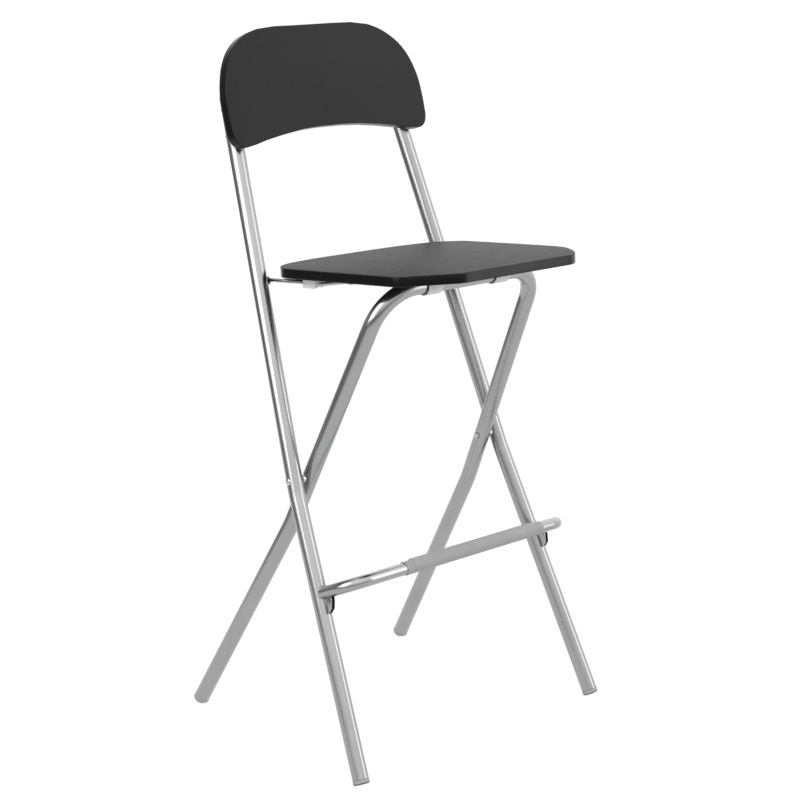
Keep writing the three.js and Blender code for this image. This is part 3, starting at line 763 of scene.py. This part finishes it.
for name, s in SIDES:
    foot, bend, high = mir(MAIN_FOOT, s), mir(MAIN_BEND, s), mir(MAIN_HIGH, s)
    low, up = (bend - foot).normalized(), (high - bend).normalized()
    top = high + up * MAIN_TOP_V
    base = foot + low * (FOOT_Z / low.z)
    start = base + low * (FOOT_LEN + 0.3)
    st = route([start, bend, top], [BEND_R])
    MAIN_STATIONS[name] = st
    tube = sweep("main_tube_%s_fine" % name, st, TUBE_R, TUBE_R - TUBE_WALL)
    py, pz = PIVOT
    px = s * main_x(pz)
    by, bz = BAIL_END
    bx = s * main_x(bz)
    tools = [rod((px + s * 20, py, pz), (px, py, pz), 6.1), rod((px, py, pz), (px - s * 20, py, pz), 4.35),
             rod((bx, by, bz), (bx - s * 16, by, bz), 5.85)]
    for end, v in SCREW_V:
        c, tag = on_tube(s, v), name + end
        gap = (BACK_ORIGIN - c).dot(BACK_N)  # from the tube's axis to the board
        at = lambda f: c + BACK_N * f
        tools.append(rod(at(-20), at(20), 3.45, 32))
        screw("backrest_screw_%s_fine" % tag, at(-16.7), at(0), [
            (0, 0), (0, 2.6), (0.9, 4.6), (2.2, 5.4), (3.5, 5.4), (3.5, 3), (gap + 25, 3), (gap + 25, 0)],
            "backrest_screw_" + tag, "main_frame", 3.0, 1.7)
        sad = lathe("backrest_saddle_%s_fine" % tag, at(6), at(gap - 0.3), soften([(0, 0), (0, 9), (gap - 6.3, 9), (gap - 6.3, 0)], 0.6), 48)
        boolean(sad, [rod(c - up * 30, c + up * 30, TUBE_R + 0.05, 72), rod(at(0), at(gap + 3), 3.45, 32)])
        piece(sad, "main_frame", FOOT, "backrest_saddle_" + tag)
    boolean(tube, tools)
    tube_finish(tube, st, TUBE_R, TUBE_R - TUBE_WALL)
    piece(tube, "main_frame", TUBE, "main_tube_" + name, smooth=False)

    cap = lathe("main_tube_cap_%s_fine" % name, top - up * 8, top, soften([
        (0, 0), (0, 10.6), (8.1, 10.6), (8.1, 12.5), (10.2, 12.2), (11.9, 10.4), (12.8, 7), (13.2, 0)], 0.5, 4), 64)
    piece(cap, "main_frame", FOOT, "main_tube_cap_" + name)


def foot_plug(name, base, d, body, node):
    """A plug with a collar as wide as the tube, cut level with the floor."""
    rows = [(0, 0), (0, 10.9), (0.5, 11.9), (1.7, PLUG_R), (FOOT_LEN - 0.2, PLUG_R), (FOOT_LEN, PLUG_R - 0.3), (FOOT_LEN, 10.6), (FOOT_LEN + 20, 10.6), (FOOT_LEN + 20, 0)]
    ob = lathe(name, base, V(base) + V(d), soften(rows, 0.35, 3), 64)
    me = ob.data
    bm = bmesh.new()
    bm.from_mesh(me)
    cut = bmesh.ops.bisect_plane(bm, geom=bm.verts[:] + bm.edges[:] + bm.faces[:], plane_co=(0, 0, 0), plane_no=(0, 0, -1), clear_outer=True)
    rim = [e for e in cut["geom_cut"] if isinstance(e, bmesh.types.BMEdge)]
    bmesh.ops.contextual_create(bm, geom=rim)
    bmesh.ops.recalc_face_normals(bm, faces=bm.faces)
    bm.to_mesh(me)
    bm.free()
    # the sole attribute runs from 1 at the floor to 0 three millimetres up; it masks the painted shade at the bottom of
    # the foot
    sole = me.attributes.new("sole", "FLOAT", "POINT")
    for v in me.vertices:
        c = v.co / MM
        c.y -= Y_SHIFT
        c.z -= Z_SHIFT
        sole.data[v.index].value = 1.0 - (c - V(base)).dot(V(d)) / 3.0
    return piece(ob, body, FOOT, node)


for name, s in SIDES:
    foot, bend = mir(MAIN_FOOT, s), mir(MAIN_BEND, s)
    low = (bend - foot).normalized()
    foot_plug("front_foot_%s_fine" % name, foot + low * (FOOT_Z / low.z), low, "main_frame", "front_foot_" + name)

    py, pz = PIVOT
    px = s * main_x(pz)
    L = px * s - 178.5 + 14.6
    bolt = lathe("pivot_bolt_%s_fine" % name, (px + s * 14.6, py, pz), (0, py, pz), soften([
        (0.9, 0), (0.75, 1.1), (0.12, 1.5), (0.15, 2.6), (0.7, 4.5), (1.5, 5.4), (2.3, 5.7), (5.6, 5.7), (5.6, 4), (L, 4), (L, 2.6), (px * s - 174.4 + 15.0, 2.6),
        (px * s - 174.4 + 15.0, 0)], 0.3, 4), 56)
    piece(bolt, "main_frame", STEEL, "pivot_bolt_" + name)
    spacer = lathe("pivot_spacer_%s_fine" % name, (s * 205.75, py, pz), (0, py, pz), soften([(0, 0), (0, 6.2), (5.5, 6.2), (5.5, 0)], 0.5, 4), 56)
    boolean(spacer, rod((s * 210, py, pz), (s * 195, py, pz), 4.3, 48))
    piece(spacer, "main_frame", STEEL, "pivot_spacer_" + name)
    nut = lathe("pivot_nut_%s_fine" % name, (s * 177.6, py, pz), (0, py, pz), soften([
        (0, 0), (0, 4.4), (4.5, 4.4), (5.3, 3.9), (5.7, 2.6), (5.8, 0)], 0.4, 4), 48)
    boolean(nut, rod((s * 180, py, pz), (s * 173.4, py, pz), 2.95, 32))
    piece(nut, "main_frame", STEEL, "pivot_nut_" + name)
    by, bz = BAIL_END
    bush = lathe("bail_bush_%s_fine" % name, (s * 188.5, by, bz), (0, by, bz), soften([
        (0, 0), (0, 5.5), (8.9, 5.5), (8.9, 7.2), (10, 7.2), (10, 5.9), (12.3, 5.9), (12.8, 5.4), (12.8, 0)], 0.3, 3), 48)
    boolean(bush, rod((s * 181, by, bz), (s * 170, by, bz), 3.6, 32))
    piece(bush, "main_frame", DARK, "bail_bush_" + name)

# ------------------------------------------------------------------ footrest
arm_root = {name: V(s * main_x(ARM_Z), MAIN_FOOT[1] + 0.4534 * ARM_Z, ARM_Z) for name, s in SIDES}
pa, pb = arm_root["left"] + ARM_DIR * ARM_LEN, arm_root["right"] + ARM_DIR * ARM_LEN
rest_st = route([arm_root["left"] + ARM_DIR * 4, pa, pb, arm_root["right"] + ARM_DIR * 4], [ARM_BEND_R, ARM_BEND_R], 3.0, 30)
rest = sweep("footrest_tube_fine", rest_st, ARM_R, ARM_R - 1.4, 64)
for name, s in SIDES:
    foot = mir(MAIN_FOOT, s)
    low = (mir(MAIN_BEND, s) - foot).normalized()
    boolean(rest, rod(arm_root[name] - low * 50, arm_root[name] + low * 50, TUBE_R + 0.02, 96))
tube_finish(rest, rest_st, ARM_R, ARM_R - 1.4)
piece(rest, "main_frame", TUBE, "footrest_tube", smooth=False)


def weld(name, root, axis, tube_axis, s):
    """The bead where an arm of the footrest meets a main tube: a small rippled fillet round the joint."""
    axis, tube_axis = unit(axis), unit(tube_axis)
    side = tube_axis.cross(axis).normalized()
    out = axis - tube_axis * axis.dot(tube_axis)
    out.normalize()
    fwd = axis
    n, m = 120, 10
    # two directions across the arm
    e1 = side
    e2 = fwd.cross(e1).normalized()
    centres, dirs = [], []
    for i in range(n):
        f = 2 * math.pi * i / n
        q = e1 * (ARM_R * math.cos(f)) + e2 * (ARM_R * math.sin(f))
        # go along the arm from the tube's axis until the point is on the tube's wall
        x = q.dot(side)
        h = math.sqrt(max(TUBE_R ** 2 - x * x, 0))
        t = (h - q.dot(out)) / fwd.dot(out)
        centres.append(root + q + fwd * t)
        dirs.append(((q.normalized()), (side * x + out * h).normalized()))
    verts, faces = [], []
    for i, (c, (qa, qb)) in enumerate(zip(centres, dirs)):
        rip = 0.18 * math.sin(i * 2 * math.pi / n * 20) + 0.08 * math.sin(i * 2 * math.pi / n * 7 + 1.3)
        r = 1.25 + rip
        mid = (qa + qb).normalized()
        t = (centres[(i + 1) % n] - centres[i - 1]).normalized()
        bi = t.cross(mid).normalized()
        for j in range(m):
            a = 2 * math.pi * j / m
            verts.append(c - mid * 0.15 + mid * (r * 0.85 * math.cos(a)) + bi * (r * 1.25 * math.sin(a)))
    for i in range(n):
        for j in range(m):
            faces.append((i * m + j, i * m + (j + 1) % m, ((i + 1) % n) * m + (j + 1) % m, ((i + 1) % n) * m + j))
    ob = build(name, verts, faces)
    return piece(ob, "main_frame", SHEET, angle=80)


for name, s in SIDES:
    foot = mir(MAIN_FOOT, s)
    low = (mir(MAIN_BEND, s) - foot).normalized()
    O, down = arm_root[name], -low
    weld("footrest_weld_" + name, O, ARM_DIR, low, s)
    u, v = ARM_DIR, down
    w = u.cross(v).normalized()
    # (along the arm, down the leg)
    outer = fillet_loop([(4, 4), (30.5, 4), (30, 14), (25, 26.5), (16.5, 32), (4, 32)], [0, 0, 6, 5, 2.5, 0])
    gus = slab("footrest_gusset_%s_fine" % name, outer, 7.2, O - w * 3.6, u, v, 0.0)
    # u and v aren't square to each other, so the slab is drawn in a sheared plane
    boolean(gus, [slab("tool", [V(a) for a in ((15, 2), (40, 2), (40, 40), (15, 40))], 5.0, O - w * 2.5, u, v)])
    boolean(gus, [rod(O - low * 60, O + low * 30, TUBE_R + 0.4, 72), rod(O - ARM_DIR * 10, O + ARM_DIR * 60, ARM_R + 0.05, 64)])
    me = gus.data
    # keep the channel and drop slivers above the arm
    bm = bmesh.new()
    bm.from_mesh(me)
    left = set(bm.verts)
    groups = []
    while left:
        stack, seen = [left.pop()], set()
        while stack:
            x = stack.pop()
            seen.add(x)
            for e in x.link_edges:
                y = e.other_vert(x)
                if y in left:
                    left.discard(y)
                    stack.append(y)
        groups.append(seen)
    groups.sort(key=len, reverse=True)
    bmesh.ops.delete(bm, geom=[x for g in groups[1:] for x in g], context="VERTS")
    bm.to_mesh(me)
    bm.free()
    bevel(gus, 0.35, 2, 40)
    piece(gus, "main_frame", [SHEET, INSIDE_SHADE], "footrest_gusset_" + name)
    # faces inside the channel take the near-black painted shade
    for f in gus.data.polygons:
        c = f.center / MM
        c.y -= Y_SHIFT
        c.z -= Z_SHIFT
        rel = c - O
        if abs(rel.dot(w)) < 2.62 and rel.dot(u) > 10:
            f.material_index = 1

# the grey sleeve round the footrest: a thin collar at each end, thicker between, its left end cut a little aslant
y, z = pa.y, pa.z
SL = dict(x0=-128.0, x1=173.0, step=16.5, r=11.4, up=1.1, collar=10.6, bore=9.62)


def sleeve():
    x0, x1, step = SL["x0"], SL["x1"], SL["step"]
    rows = []
    c, cu = SL["collar"], 0.1
    R, ru = SL["r"], SL["up"]

    def arc_in(x, r, u, way):
        return [(x + way * 0.45 * (1 - math.sin(a)), r - 0.45 * (1 - math.cos(a)), u) for a in (math.pi / 2, math.pi / 3, math.pi / 6, 0)]

    # outer surface from the left end to the right end
    outer = [(x0 + 0.0, c - 0.45, cu), (x0 + 0.06, c - 0.22, cu), (x0 + 0.22, c - 0.06, cu), (x0 + 0.45, c, cu)]
    outer += [(x0 + step * 0.5, c, cu), (x0 + step - 1.6, c, cu)]
    for k in range(7):
        f = k / 6
        g = f * f * (3 - 2 * f)
        outer.append((x0 + step - 1.2 + 2.0 * f, c + (R - c) * g, cu + (ru - cu) * g))
    n = 24
    for k in range(1, n):
        outer.append((x0 + step + 1 + (x1 - x0 - 2 * step - 2) * k / n, R, ru))
    for k in range(7):
        f = 1 - k / 6
        g = f * f * (3 - 2 * f)
        outer.append((x1 - step + 1.2 - 2.0 * f, c + (R - c) * g, cu + (ru - cu) * g))
    outer += [(x1 - step + 1.6, c, cu), (x1 - step * 0.5, c, cu)]
    outer += [(x1 - 0.45, c, cu), (x1 - 0.22, c - 0.06, cu), (x1 - 0.06, c - 0.22, cu), (x1, c - 0.45, cu)]
    inner = [(x1, SL["bore"] + 0.3, 0), (x1 - 0.3, SL["bore"], 0)] + [(x1 + (x0 - x1) * k / 12, SL["bore"], 0) for k in range(1, 12)] + [(x0 + 0.3, SL["bore"], 0), (x0, SL["bore"] + 0.3, 0)]
    rows = outer + inner
    sides = 72
    verts, faces = [], []
    for x, r, u in rows:
        near = max(0.0, 1 - (x - x0) / 14.0)
        for i in range(sides):
            a = 2 * math.pi * i / sides
            yy, zz = r * math.cos(a), r * math.sin(a)
            slant = -(zz * 0.10) * near
            verts.append((x + slant, y + yy, z + u + zz))
    m = len(rows)
    for j in range(m):
        for i in range(sides):
            i2 = (i + 1) % sides
            a, b = j * sides, ((j + 1) % m) * sides
            faces.append((a + i, a + i2, b + i2, b + i))
    return build("footrest_sleeve_fine", verts, faces)


piece(sleeve(), "main_frame", SLEEVE, "footrest_sleeve", angle=40)

# ------------------------------------------------------------------ backrest board
outline = BACK_RIGHT + [(-a, b) for a, b in reversed(BACK_LEFT)]
board = slab("backrest_panel_fine", smooth_loop(outline), BACK_T, BACK_ORIGIN, BACK_X, BACK_U, EDGE, 6, band=True)
piece(board, "main_frame", BOARD, "backrest_panel", angle=50)

# ------------------------------------------------------------------ rear leg frame
foot, bend = V(REAR_FOOT), V(REAR_BEND)
low = (bend - foot).normalized()
up_dir = unit((162.8 - 194.0, -122.4 - 46.0, 700 - 336))
corner = bend + up_dir * ((REAR_BAR_Z - bend.z) / up_dir.z)
rear_base = foot + low * (FOOT_Z / low.z)
rear_start = rear_base + low * (FOOT_LEN + 0.3)
rear_st = route([mir(rear_start, -1), mir(bend, -1), mir(corner, -1), corner, bend, rear_start],
                [BEND_R, REAR_CORNER_R, REAR_CORNER_R, BEND_R], 3.0)
rear = sweep("rear_leg_tube_fine", rear_st, TUBE_R, TUBE_R - TUBE_WALL)
py, pz = PIVOT
for s in (-1, 1):
    boolean(rear, [rod((s * 205, py, pz), (s * 186.9, py, pz), 4.35), rod((s * 186.9, py, pz), (s * 168, py, pz), 5.3)])
tube_finish(rear, rear_st, TUBE_R, TUBE_R - TUBE_WALL)
piece(rear, "rear_leg_frame", TUBE, "rear_leg_tube", smooth=False)
for name, s in SIDES:
    foot_plug("rear_foot_%s_fine" % name, mir(rear_base, s), mir(low, s), "rear_leg_frame", "rear_foot_" + name)

# ------------------------------------------------------------------ seat board and what it carries
TILT = math.atan(SEAT_SLOPE)
CT, ST = math.cos(TILT), math.sin(TILT)
S_AXIS, H_AXIS = V(0, CT, -ST), V(0, ST, CT)


def seat(x, s, h):
    return V(x, SEAT_Y0 + s * CT + h * ST, SEAT_Z0 - s * ST + h * CT)


def seat_of(y, z):
    return (y - SEAT_Y0) * CT - (z - SEAT_Z0) * ST, (y - SEAT_Y0) * ST + (z - SEAT_Z0) * CT


SEAT_LEFT = [
    (100, -246.6), (112, -246.4), (121, -244.4), (130, -239.2), (138, -232.8), (147, -225.6), (158, -217), (171, -206.4),
    (182, -199.4), (190, -192.4), (194, -184), (195.2, -176), (195.6, -60), (195.2, 46), (193, 60), (187, 70.6), (174.6, 86.6),
    (159.6, 97), (140, 105), (118, 109.4), (90, 113), (45, 114.4),
]
SEAT_RIGHT = [
    (100, -246), (112, -245.2), (121, -242.2), (130, -236.6), (138, -229.6), (147, -221.2), (155.8, -211.6), (163.8, -201.4),
    (171.2, -191.2), (178, -181.2), (184, -171), (188.4, -159.6), (191.6, -142), (193.6, -108), (194.6, -60), (194.6, 46),
    (193, 60), (187, 71), (174.6, 87), (159.6, 97.4), (140, 105), (118, 109.6), (90, 113.2), (45, 114.6),
]
outline = [(a, (b - SEAT_Y0) / CT) for a, b in SEAT_RIGHT] + [(-a, (b - SEAT_Y0) / CT) for a, b in reversed(SEAT_LEFT)]
seat_board = slab("seat_panel_fine", smooth_loop(outline), BOARD_T, seat(0, 0, -BOARD_T), (1, 0, 0), S_AXIS, EDGE, 6, band=True)
piece(seat_board, "seat", BOARD, "seat_panel", angle=50)


def box(xa, xb, sa, sb, ha, hb):
    return slab("tool", [(xa, sa), (xb, sa), (xb, sb), (xa, sb)], hb - ha, seat(0, 0, ha), (1, 0, 0), S_AXIS)


cs, ch = seat_of(-130.95, REAR_BAR_Z)
for name, x0 in (("left", -86.0), ("right", 57.0)):
    x1 = x0 + 30
    # cross-section of the strap in (s, h): flange, wall, half ring, wall, flange
    R, r, ft, fb = 14.9, 13.55, -15.3, -17.6
    sec = [V(cs - 25, ft), V(cs - 25, fb), V(cs - R - 1.2, fb), V(cs - R, fb - 1.2)]
    n = 40
    for k in range(n + 1):
        a = math.pi + math.pi * k / n
        sec.append(V(cs + R * math.cos(a), ch + R * math.sin(a)))
    sec += [V(cs + R, fb - 1.2), V(cs + R + 1.2, fb), V(cs + 25, fb), V(cs + 25, ft), V(cs + r, ft)]
    for k in range(n + 1):
        a = 2 * math.pi - math.pi * k / n
        sec.append(V(cs + r * math.cos(a), ch + r * math.sin(a)))
    sec.append(V(cs - r, ft))
    strap = slab("seat_clip_%s_fine" % name, sec, 30.0, V(x0, SEAT_Y0, SEAT_Z0), S_AXIS, H_AXIS, 0.45, 3)
    # slab thickens along s x h, which is +X here
    tools = []
    for ds in (-20, 20):
        tools.append(rod(seat(x0 + 15, cs + ds, -20), seat(x0 + 15, cs + ds, -14), 2.4, 32))
    boolean(strap, tools)
    piece(strap, "seat", CLIP, "seat_clip_" + name, angle=40)
    for end, ds in (("front", -20), ("rear", 20)):
        screw("seat_clip_screw_%s_%s_fine" % (name, end), seat(x0 + 15, cs + ds, -19.9), seat(x0 + 15, cs + ds, 0),
              [(0, 0), (0, 2.2), (0.7, 3.7), (2, 4.2), (2, 2), (13.9, 2), (13.9, 0)], "seat_clip_screw_%s_%s" % (name, end), "seat", 2.0, 1.1)
    # the thin black lining, standing out of the strap at its left end
    sec = []
    ro, ri, open_h = 13.5, 12.6, ch + 8.6
    a0 = math.asin((open_h - ch) / ro)
    for k in range(61):
        a = math.pi - a0 + (math.pi + 2 * a0) * k / 60
        sec.append(V(cs + ro * math.cos(a), ch + ro * math.sin(a)))
    for k in range(61):
        a = 2 * math.pi + a0 - (math.pi + 2 * a0) * k / 60
        sec.append(V(cs + ri * math.cos(a), ch + ri * math.sin(a)))
    liner = slab("seat_clip_liner_%s_fine" % name, sec, 30 + 2.6 + 0.3, V(x0 - 2.6, SEAT_Y0, SEAT_Z0), S_AXIS, H_AXIS, 0.2, 2)
    piece(liner, "seat", DARK, "seat_clip_liner_" + name, angle=40)

for name, s in SIDES:
    ws, wh = seat_of(WIRE_CROSS_Y, SEAT_Z0 - (WIRE_CROSS_Y - SEAT_Y0) * SEAT_SLOPE - BOARD_T - 7)
    xa = -136.0 if s < 0 else 106.0
    xb, xm = xa + 30, xa + 15
    sec = fillet_loop([(ws - 22, -18.6), (ws - 8, -18.6), (ws - 8, -27.2), (ws + 8, -27.2), (ws + 8, -15.3), (ws - 22, -15.3)], [1.2, 1.5, 4, 4, 0, 0])
    clip = slab("bail_pivot_clip_%s_fine" % name, sec, 30.0, V(xa, SEAT_Y0, SEAT_Z0), S_AXIS, H_AXIS, 0.6, 3)
    boolean(clip, [rod(seat(xa - 5, ws, wh), seat(xb + 5, ws, wh), WIRE_R + 0.3, 40), rod(seat(xm, ws - 15, -25), seat(xm, ws - 15, -14), 2.4, 32)])
    piece(clip, "seat", CLIP, "bail_pivot_clip_" + name, angle=40)
    screw("bail_pivot_screw_%s_fine" % name, seat(xm, ws - 15, -20.9), seat(xm, ws - 15, 0),
          [(0, 0), (0, 2.2), (0.7, 3.7), (2, 4.2), (2, 2), (14.9, 2), (14.9, 0)], "bail_pivot_screw_" + name, "seat", 2.0, 1.1)

    s0, s1 = seat_of(-2, 722)[0], seat_of(27, 720)[0]
    cx, hw = s * WIRE_X, 10.0
    sec = fillet_loop([(s0 + 4.5, -29.2), (s1, -29.2), (s1, -15.3), (s0, -15.3), (s0, -25.2)], [1.5, 2.0, 0, 0, 1.5])
    snap = slab("bail_snap_clip_%s_fine" % name, sec, 2 * hw, V(cx - hw, SEAT_Y0, SEAT_Z0), S_AXIS, H_AXIS, 0.0)
    sx, sm = cx, (s0 + s1) / 2 + 3
    flare = [(s * 175.75, s0 - 5), (s * 175.75, s0 + 16), (s * 168.25, s0 + 16), (s * 156, s0 - 5)]
    boolean(snap, [box(cx - 3.75, cx + 3.75, s0 - 5, s1 + 5, -40, -19.6),
                   slab("tool", flare, 20.4, seat(0, 0, -40), (1, 0, 0), S_AXIS),
                   rod(seat(sx, sm, -25), seat(sx, sm, -14), 2.0, 32)])
    bevel(snap, 0.5, 3, 40)
    piece(snap, "seat", SNAP, "bail_snap_clip_" + name, angle=40)
    screw("bail_snap_screw_%s_fine" % name, seat(sx, sm, -20.4), seat(sx, sm, 0),
          [(0, 0), (0, 2.6), (0.5, 3.2), (0.5, 1.7), (13.9, 1.7), (13.9, 0)], "bail_snap_screw_" + name, "seat", 1.5, 0.35)

# ------------------------------------------------------------------ wire bail
zc = SEAT_Z0 - (WIRE_CROSS_Y - SEAT_Y0) * SEAT_SLOPE - BOARD_T - 7
leg = lambda s: [V(s * WIRE_X, 118, 705.65), V(s * WIRE_X, 40, 712.6), V(s * WIRE_X, 28, 711.3), V(s * WIRE_X, 4, 713.2), V(s * WIRE_CROSS_X, WIRE_CROSS_Y, zc)]
wire_st = route(leg(-1) + leg(1)[::-1], [30, 30, 12, 12, 12, 12, 30, 30], 5.0, 20)
wire = sweep("bail_wire_fine", wire_st, WIRE_R, 0, 40, 0.5)
tube_finish(wire, wire_st, WIRE_R)
piece(wire, "seat_bail", WIRE, "bail_wire", smooth=False)

# ------------------------------------------------------------------ floor, light, camera
FLOOR_R = 70.0
fm, fkn = material("pale_floor")
at = object_coords(fkn)
faint = fkn.noise(at, 3.0, 3.0, 0.5)
em = fkn.t.nodes.new("ShaderNodeEmission")
em.inputs["Color"].default_value = (1, 1, 1, 1)
# the pale sweep's emission is painted light: bright round the stool, falling off in the dim part of the room, to its
# left and in front
apart = fkn.t.nodes.new("ShaderNodeSeparateXYZ")
fkn.put(apart.inputs[0], at)
leftward = fkn.math("ADD", fkn.math("MULTIPLY", apart.outputs["X"], -0.850), fkn.math("MULTIPLY", apart.outputs["Y"], 0.527))
nearer = fkn.math("ADD", fkn.math("MULTIPLY", apart.outputs["X"], -0.669), fkn.math("MULTIPLY", apart.outputs["Y"], -0.7045))
dim = fkn.math("MAXIMUM", fkn.span(leftward, 1.2, 2.4, 0.0, 1.0, "SMOOTHSTEP"), fkn.span(nearer, 1.0, 2.4, 0.0, 1.0, "SMOOTHSTEP"))
rightward = fkn.math("ADD", fkn.math("MULTIPLY", apart.outputs["X"], 0.571), fkn.math("MULTIPLY", apart.outputs["Y"], -0.821))
bright = fkn.span(rightward, 1.3, 2.2, 0.0, 0.15, "SMOOTHSTEP")
spread = fkn.math("ADD", fkn.math("SUBTRACT", 1.0, fkn.math("MULTIPLY", dim, 0.80)), bright)
fkn.put(em.inputs["Strength"], fkn.math("MULTIPLY", 0.955, spread))
df = fkn.t.nodes.new("ShaderNodeBsdfDiffuse")
fkn.put(df.inputs["Color"], fkn.mix(faint, (0.052, 0.052, 0.052), (0.056, 0.056, 0.056)))
add = fkn.t.nodes.new("ShaderNodeAddShader")
fkn.t.links.new(em.outputs[0], add.inputs[0])
fkn.t.links.new(df.outputs[0], add.inputs[1])
out = fkn.t.nodes.new("ShaderNodeOutputMaterial")
fkn.t.links.new(add.outputs[0], out.inputs["Surface"])
ring = [(FLOOR_R * math.cos(2 * math.pi * i / 96), FLOOR_R * math.sin(2 * math.pi * i / 96), 0.0) for i in range(96)]
fme = bpy.data.meshes.new("floor")
fme.from_pydata([(0, 0, 0)] + ring, [], [(0, 1 + i, 1 + (i + 1) % 96) for i in range(96)])
floor = bpy.data.objects.new("floor", fme)
scene.collection.objects.link(floor)
floor.data.materials.append(fm)

world = bpy.data.worlds.new("studio")
scene.world = world
world.use_nodes = True
wk = Nodes(world.node_tree)
direction = wk.t.nodes.new("ShaderNodeTexCoord").outputs["Generated"]
sep = wk.t.nodes.new("ShaderNodeSeparateXYZ")
wk.put(sep.inputs[0], direction)


def lobe(az, power, el=0.0):
    """1 towards this azimuth and elevation, falling to 0 at right angles to it."""
    a, e = math.radians(az), math.radians(el)
    n = wk.t.nodes.new("ShaderNodeVectorMath")
    n.operation = "DOT_PRODUCT"
    wk.put(n.inputs[0], direction)
    n.inputs[1].default_value = (math.sin(a) * math.cos(e), -math.cos(a) * math.cos(e), math.sin(e))
    return wk.math("POWER", wk.math("MAXIMUM", n.outputs["Value"], 0.0), power)


level = wk.math("ADD", 0.93, wk.math("MULTIPLY", lobe(-150, 1.6), -0.44))
level = wk.math("ADD", level, wk.math("MULTIPLY", lobe(140, 2.0), 0.33))
level = wk.math("ADD", level, wk.math("MULTIPLY", lobe(80, 3.0), 0.30))
lift = wk.span(sep.outputs["Z"], 0.10, 0.60, 0.0, 1.0, "SMOOTHSTEP")
lift = wk.math("MULTIPLY", lift, wk.math("SUBTRACT", 1.0, wk.math("MULTIPLY", lobe(-155, 1.5), 0.6)))
total = wk.math("ADD", wk.math("MULTIPLY", level, wk.math("SUBTRACT", 1.0, lift)), wk.math("MULTIPLY", lift, wk.math("SUBTRACT", 1.80, wk.math("MULTIPLY", lobe(40, 2.0, 40.0), 0.30))))
total = wk.math("MULTIPLY", total, wk.math("SUBTRACT", 1.0, wk.math("MULTIPLY", lobe(-150, 5.5, 40.0), 0.92)))
bg = wk.t.nodes.new("ShaderNodeBackground")
bg.inputs["Color"].default_value = (1, 1, 1, 1)
wk.put(bg.inputs["Strength"], total)
wout = wk.t.nodes.new("ShaderNodeOutputWorld")
wk.t.links.new(bg.outputs[0], wout.inputs["Surface"])


def softbox(name, centre, target, width, height, radiance):
    """A rectangular area light of the given radiance, hidden from the camera itself."""
    data = bpy.data.lights.new(name, "AREA")
    data.shape, data.size, data.size_y = "RECTANGLE", width, height
    data.energy = radiance * math.pi * width * height
    ob = bpy.data.objects.new(name, data)
    scene.collection.objects.link(ob)
    ob.location = centre
    ob.rotation_euler = (V(target) - V(centre)).to_track_quat("-Z", "Y").to_euler()
    ob.visible_camera = False
    return ob


softbox("softbox_left", (-2.05, 0.13, 1.60), (0, 0.05, 1.15), 1.50, 1.75, 3.1)
softbox("softbox_front_right", (1.87, -2.35, 1.50), (0.0, 0.0, 1.40), 0.95, 2.7, 1.95)

cam_data = bpy.data.cameras.new("camera")
cam = bpy.data.objects.new("camera", cam_data)
scene.collection.objects.link(cam)
cam_data.sensor_fit, cam_data.sensor_width = "HORIZONTAL", 36.0
cam_data.lens = 1936.0119 / 800 * 36.0
cam_data.clip_start, cam_data.clip_end = 0.05, 200.0
cam_data.shift_x, cam_data.shift_y = -0.25 / 800, 0.35 / 800
rx = unit((0.725078978, -0.688665544, 0.000494995))
ux = unit((0.16213867, 0.17141029, 0.97176621))
dx = unit((0.66930675, 0.70452699, -0.23594531))
cam.matrix_world = Matrix((
    (rx.x, ux.x, -dx.x, -2.03739304),
    (rx.y, ux.y, -dx.y, -2.13775459 + Y_SHIFT * MM),
    (rx.z, ux.z, -dx.z, 1.22509893 + Z_SHIFT * MM),
    (0, 0, 0, 1)))
scene.camera = cam

scene.view_settings.view_transform = "Standard"
scene.view_settings.look = "None"
scene.view_settings.exposure = 0.0
scene.view_settings.gamma = 1.0
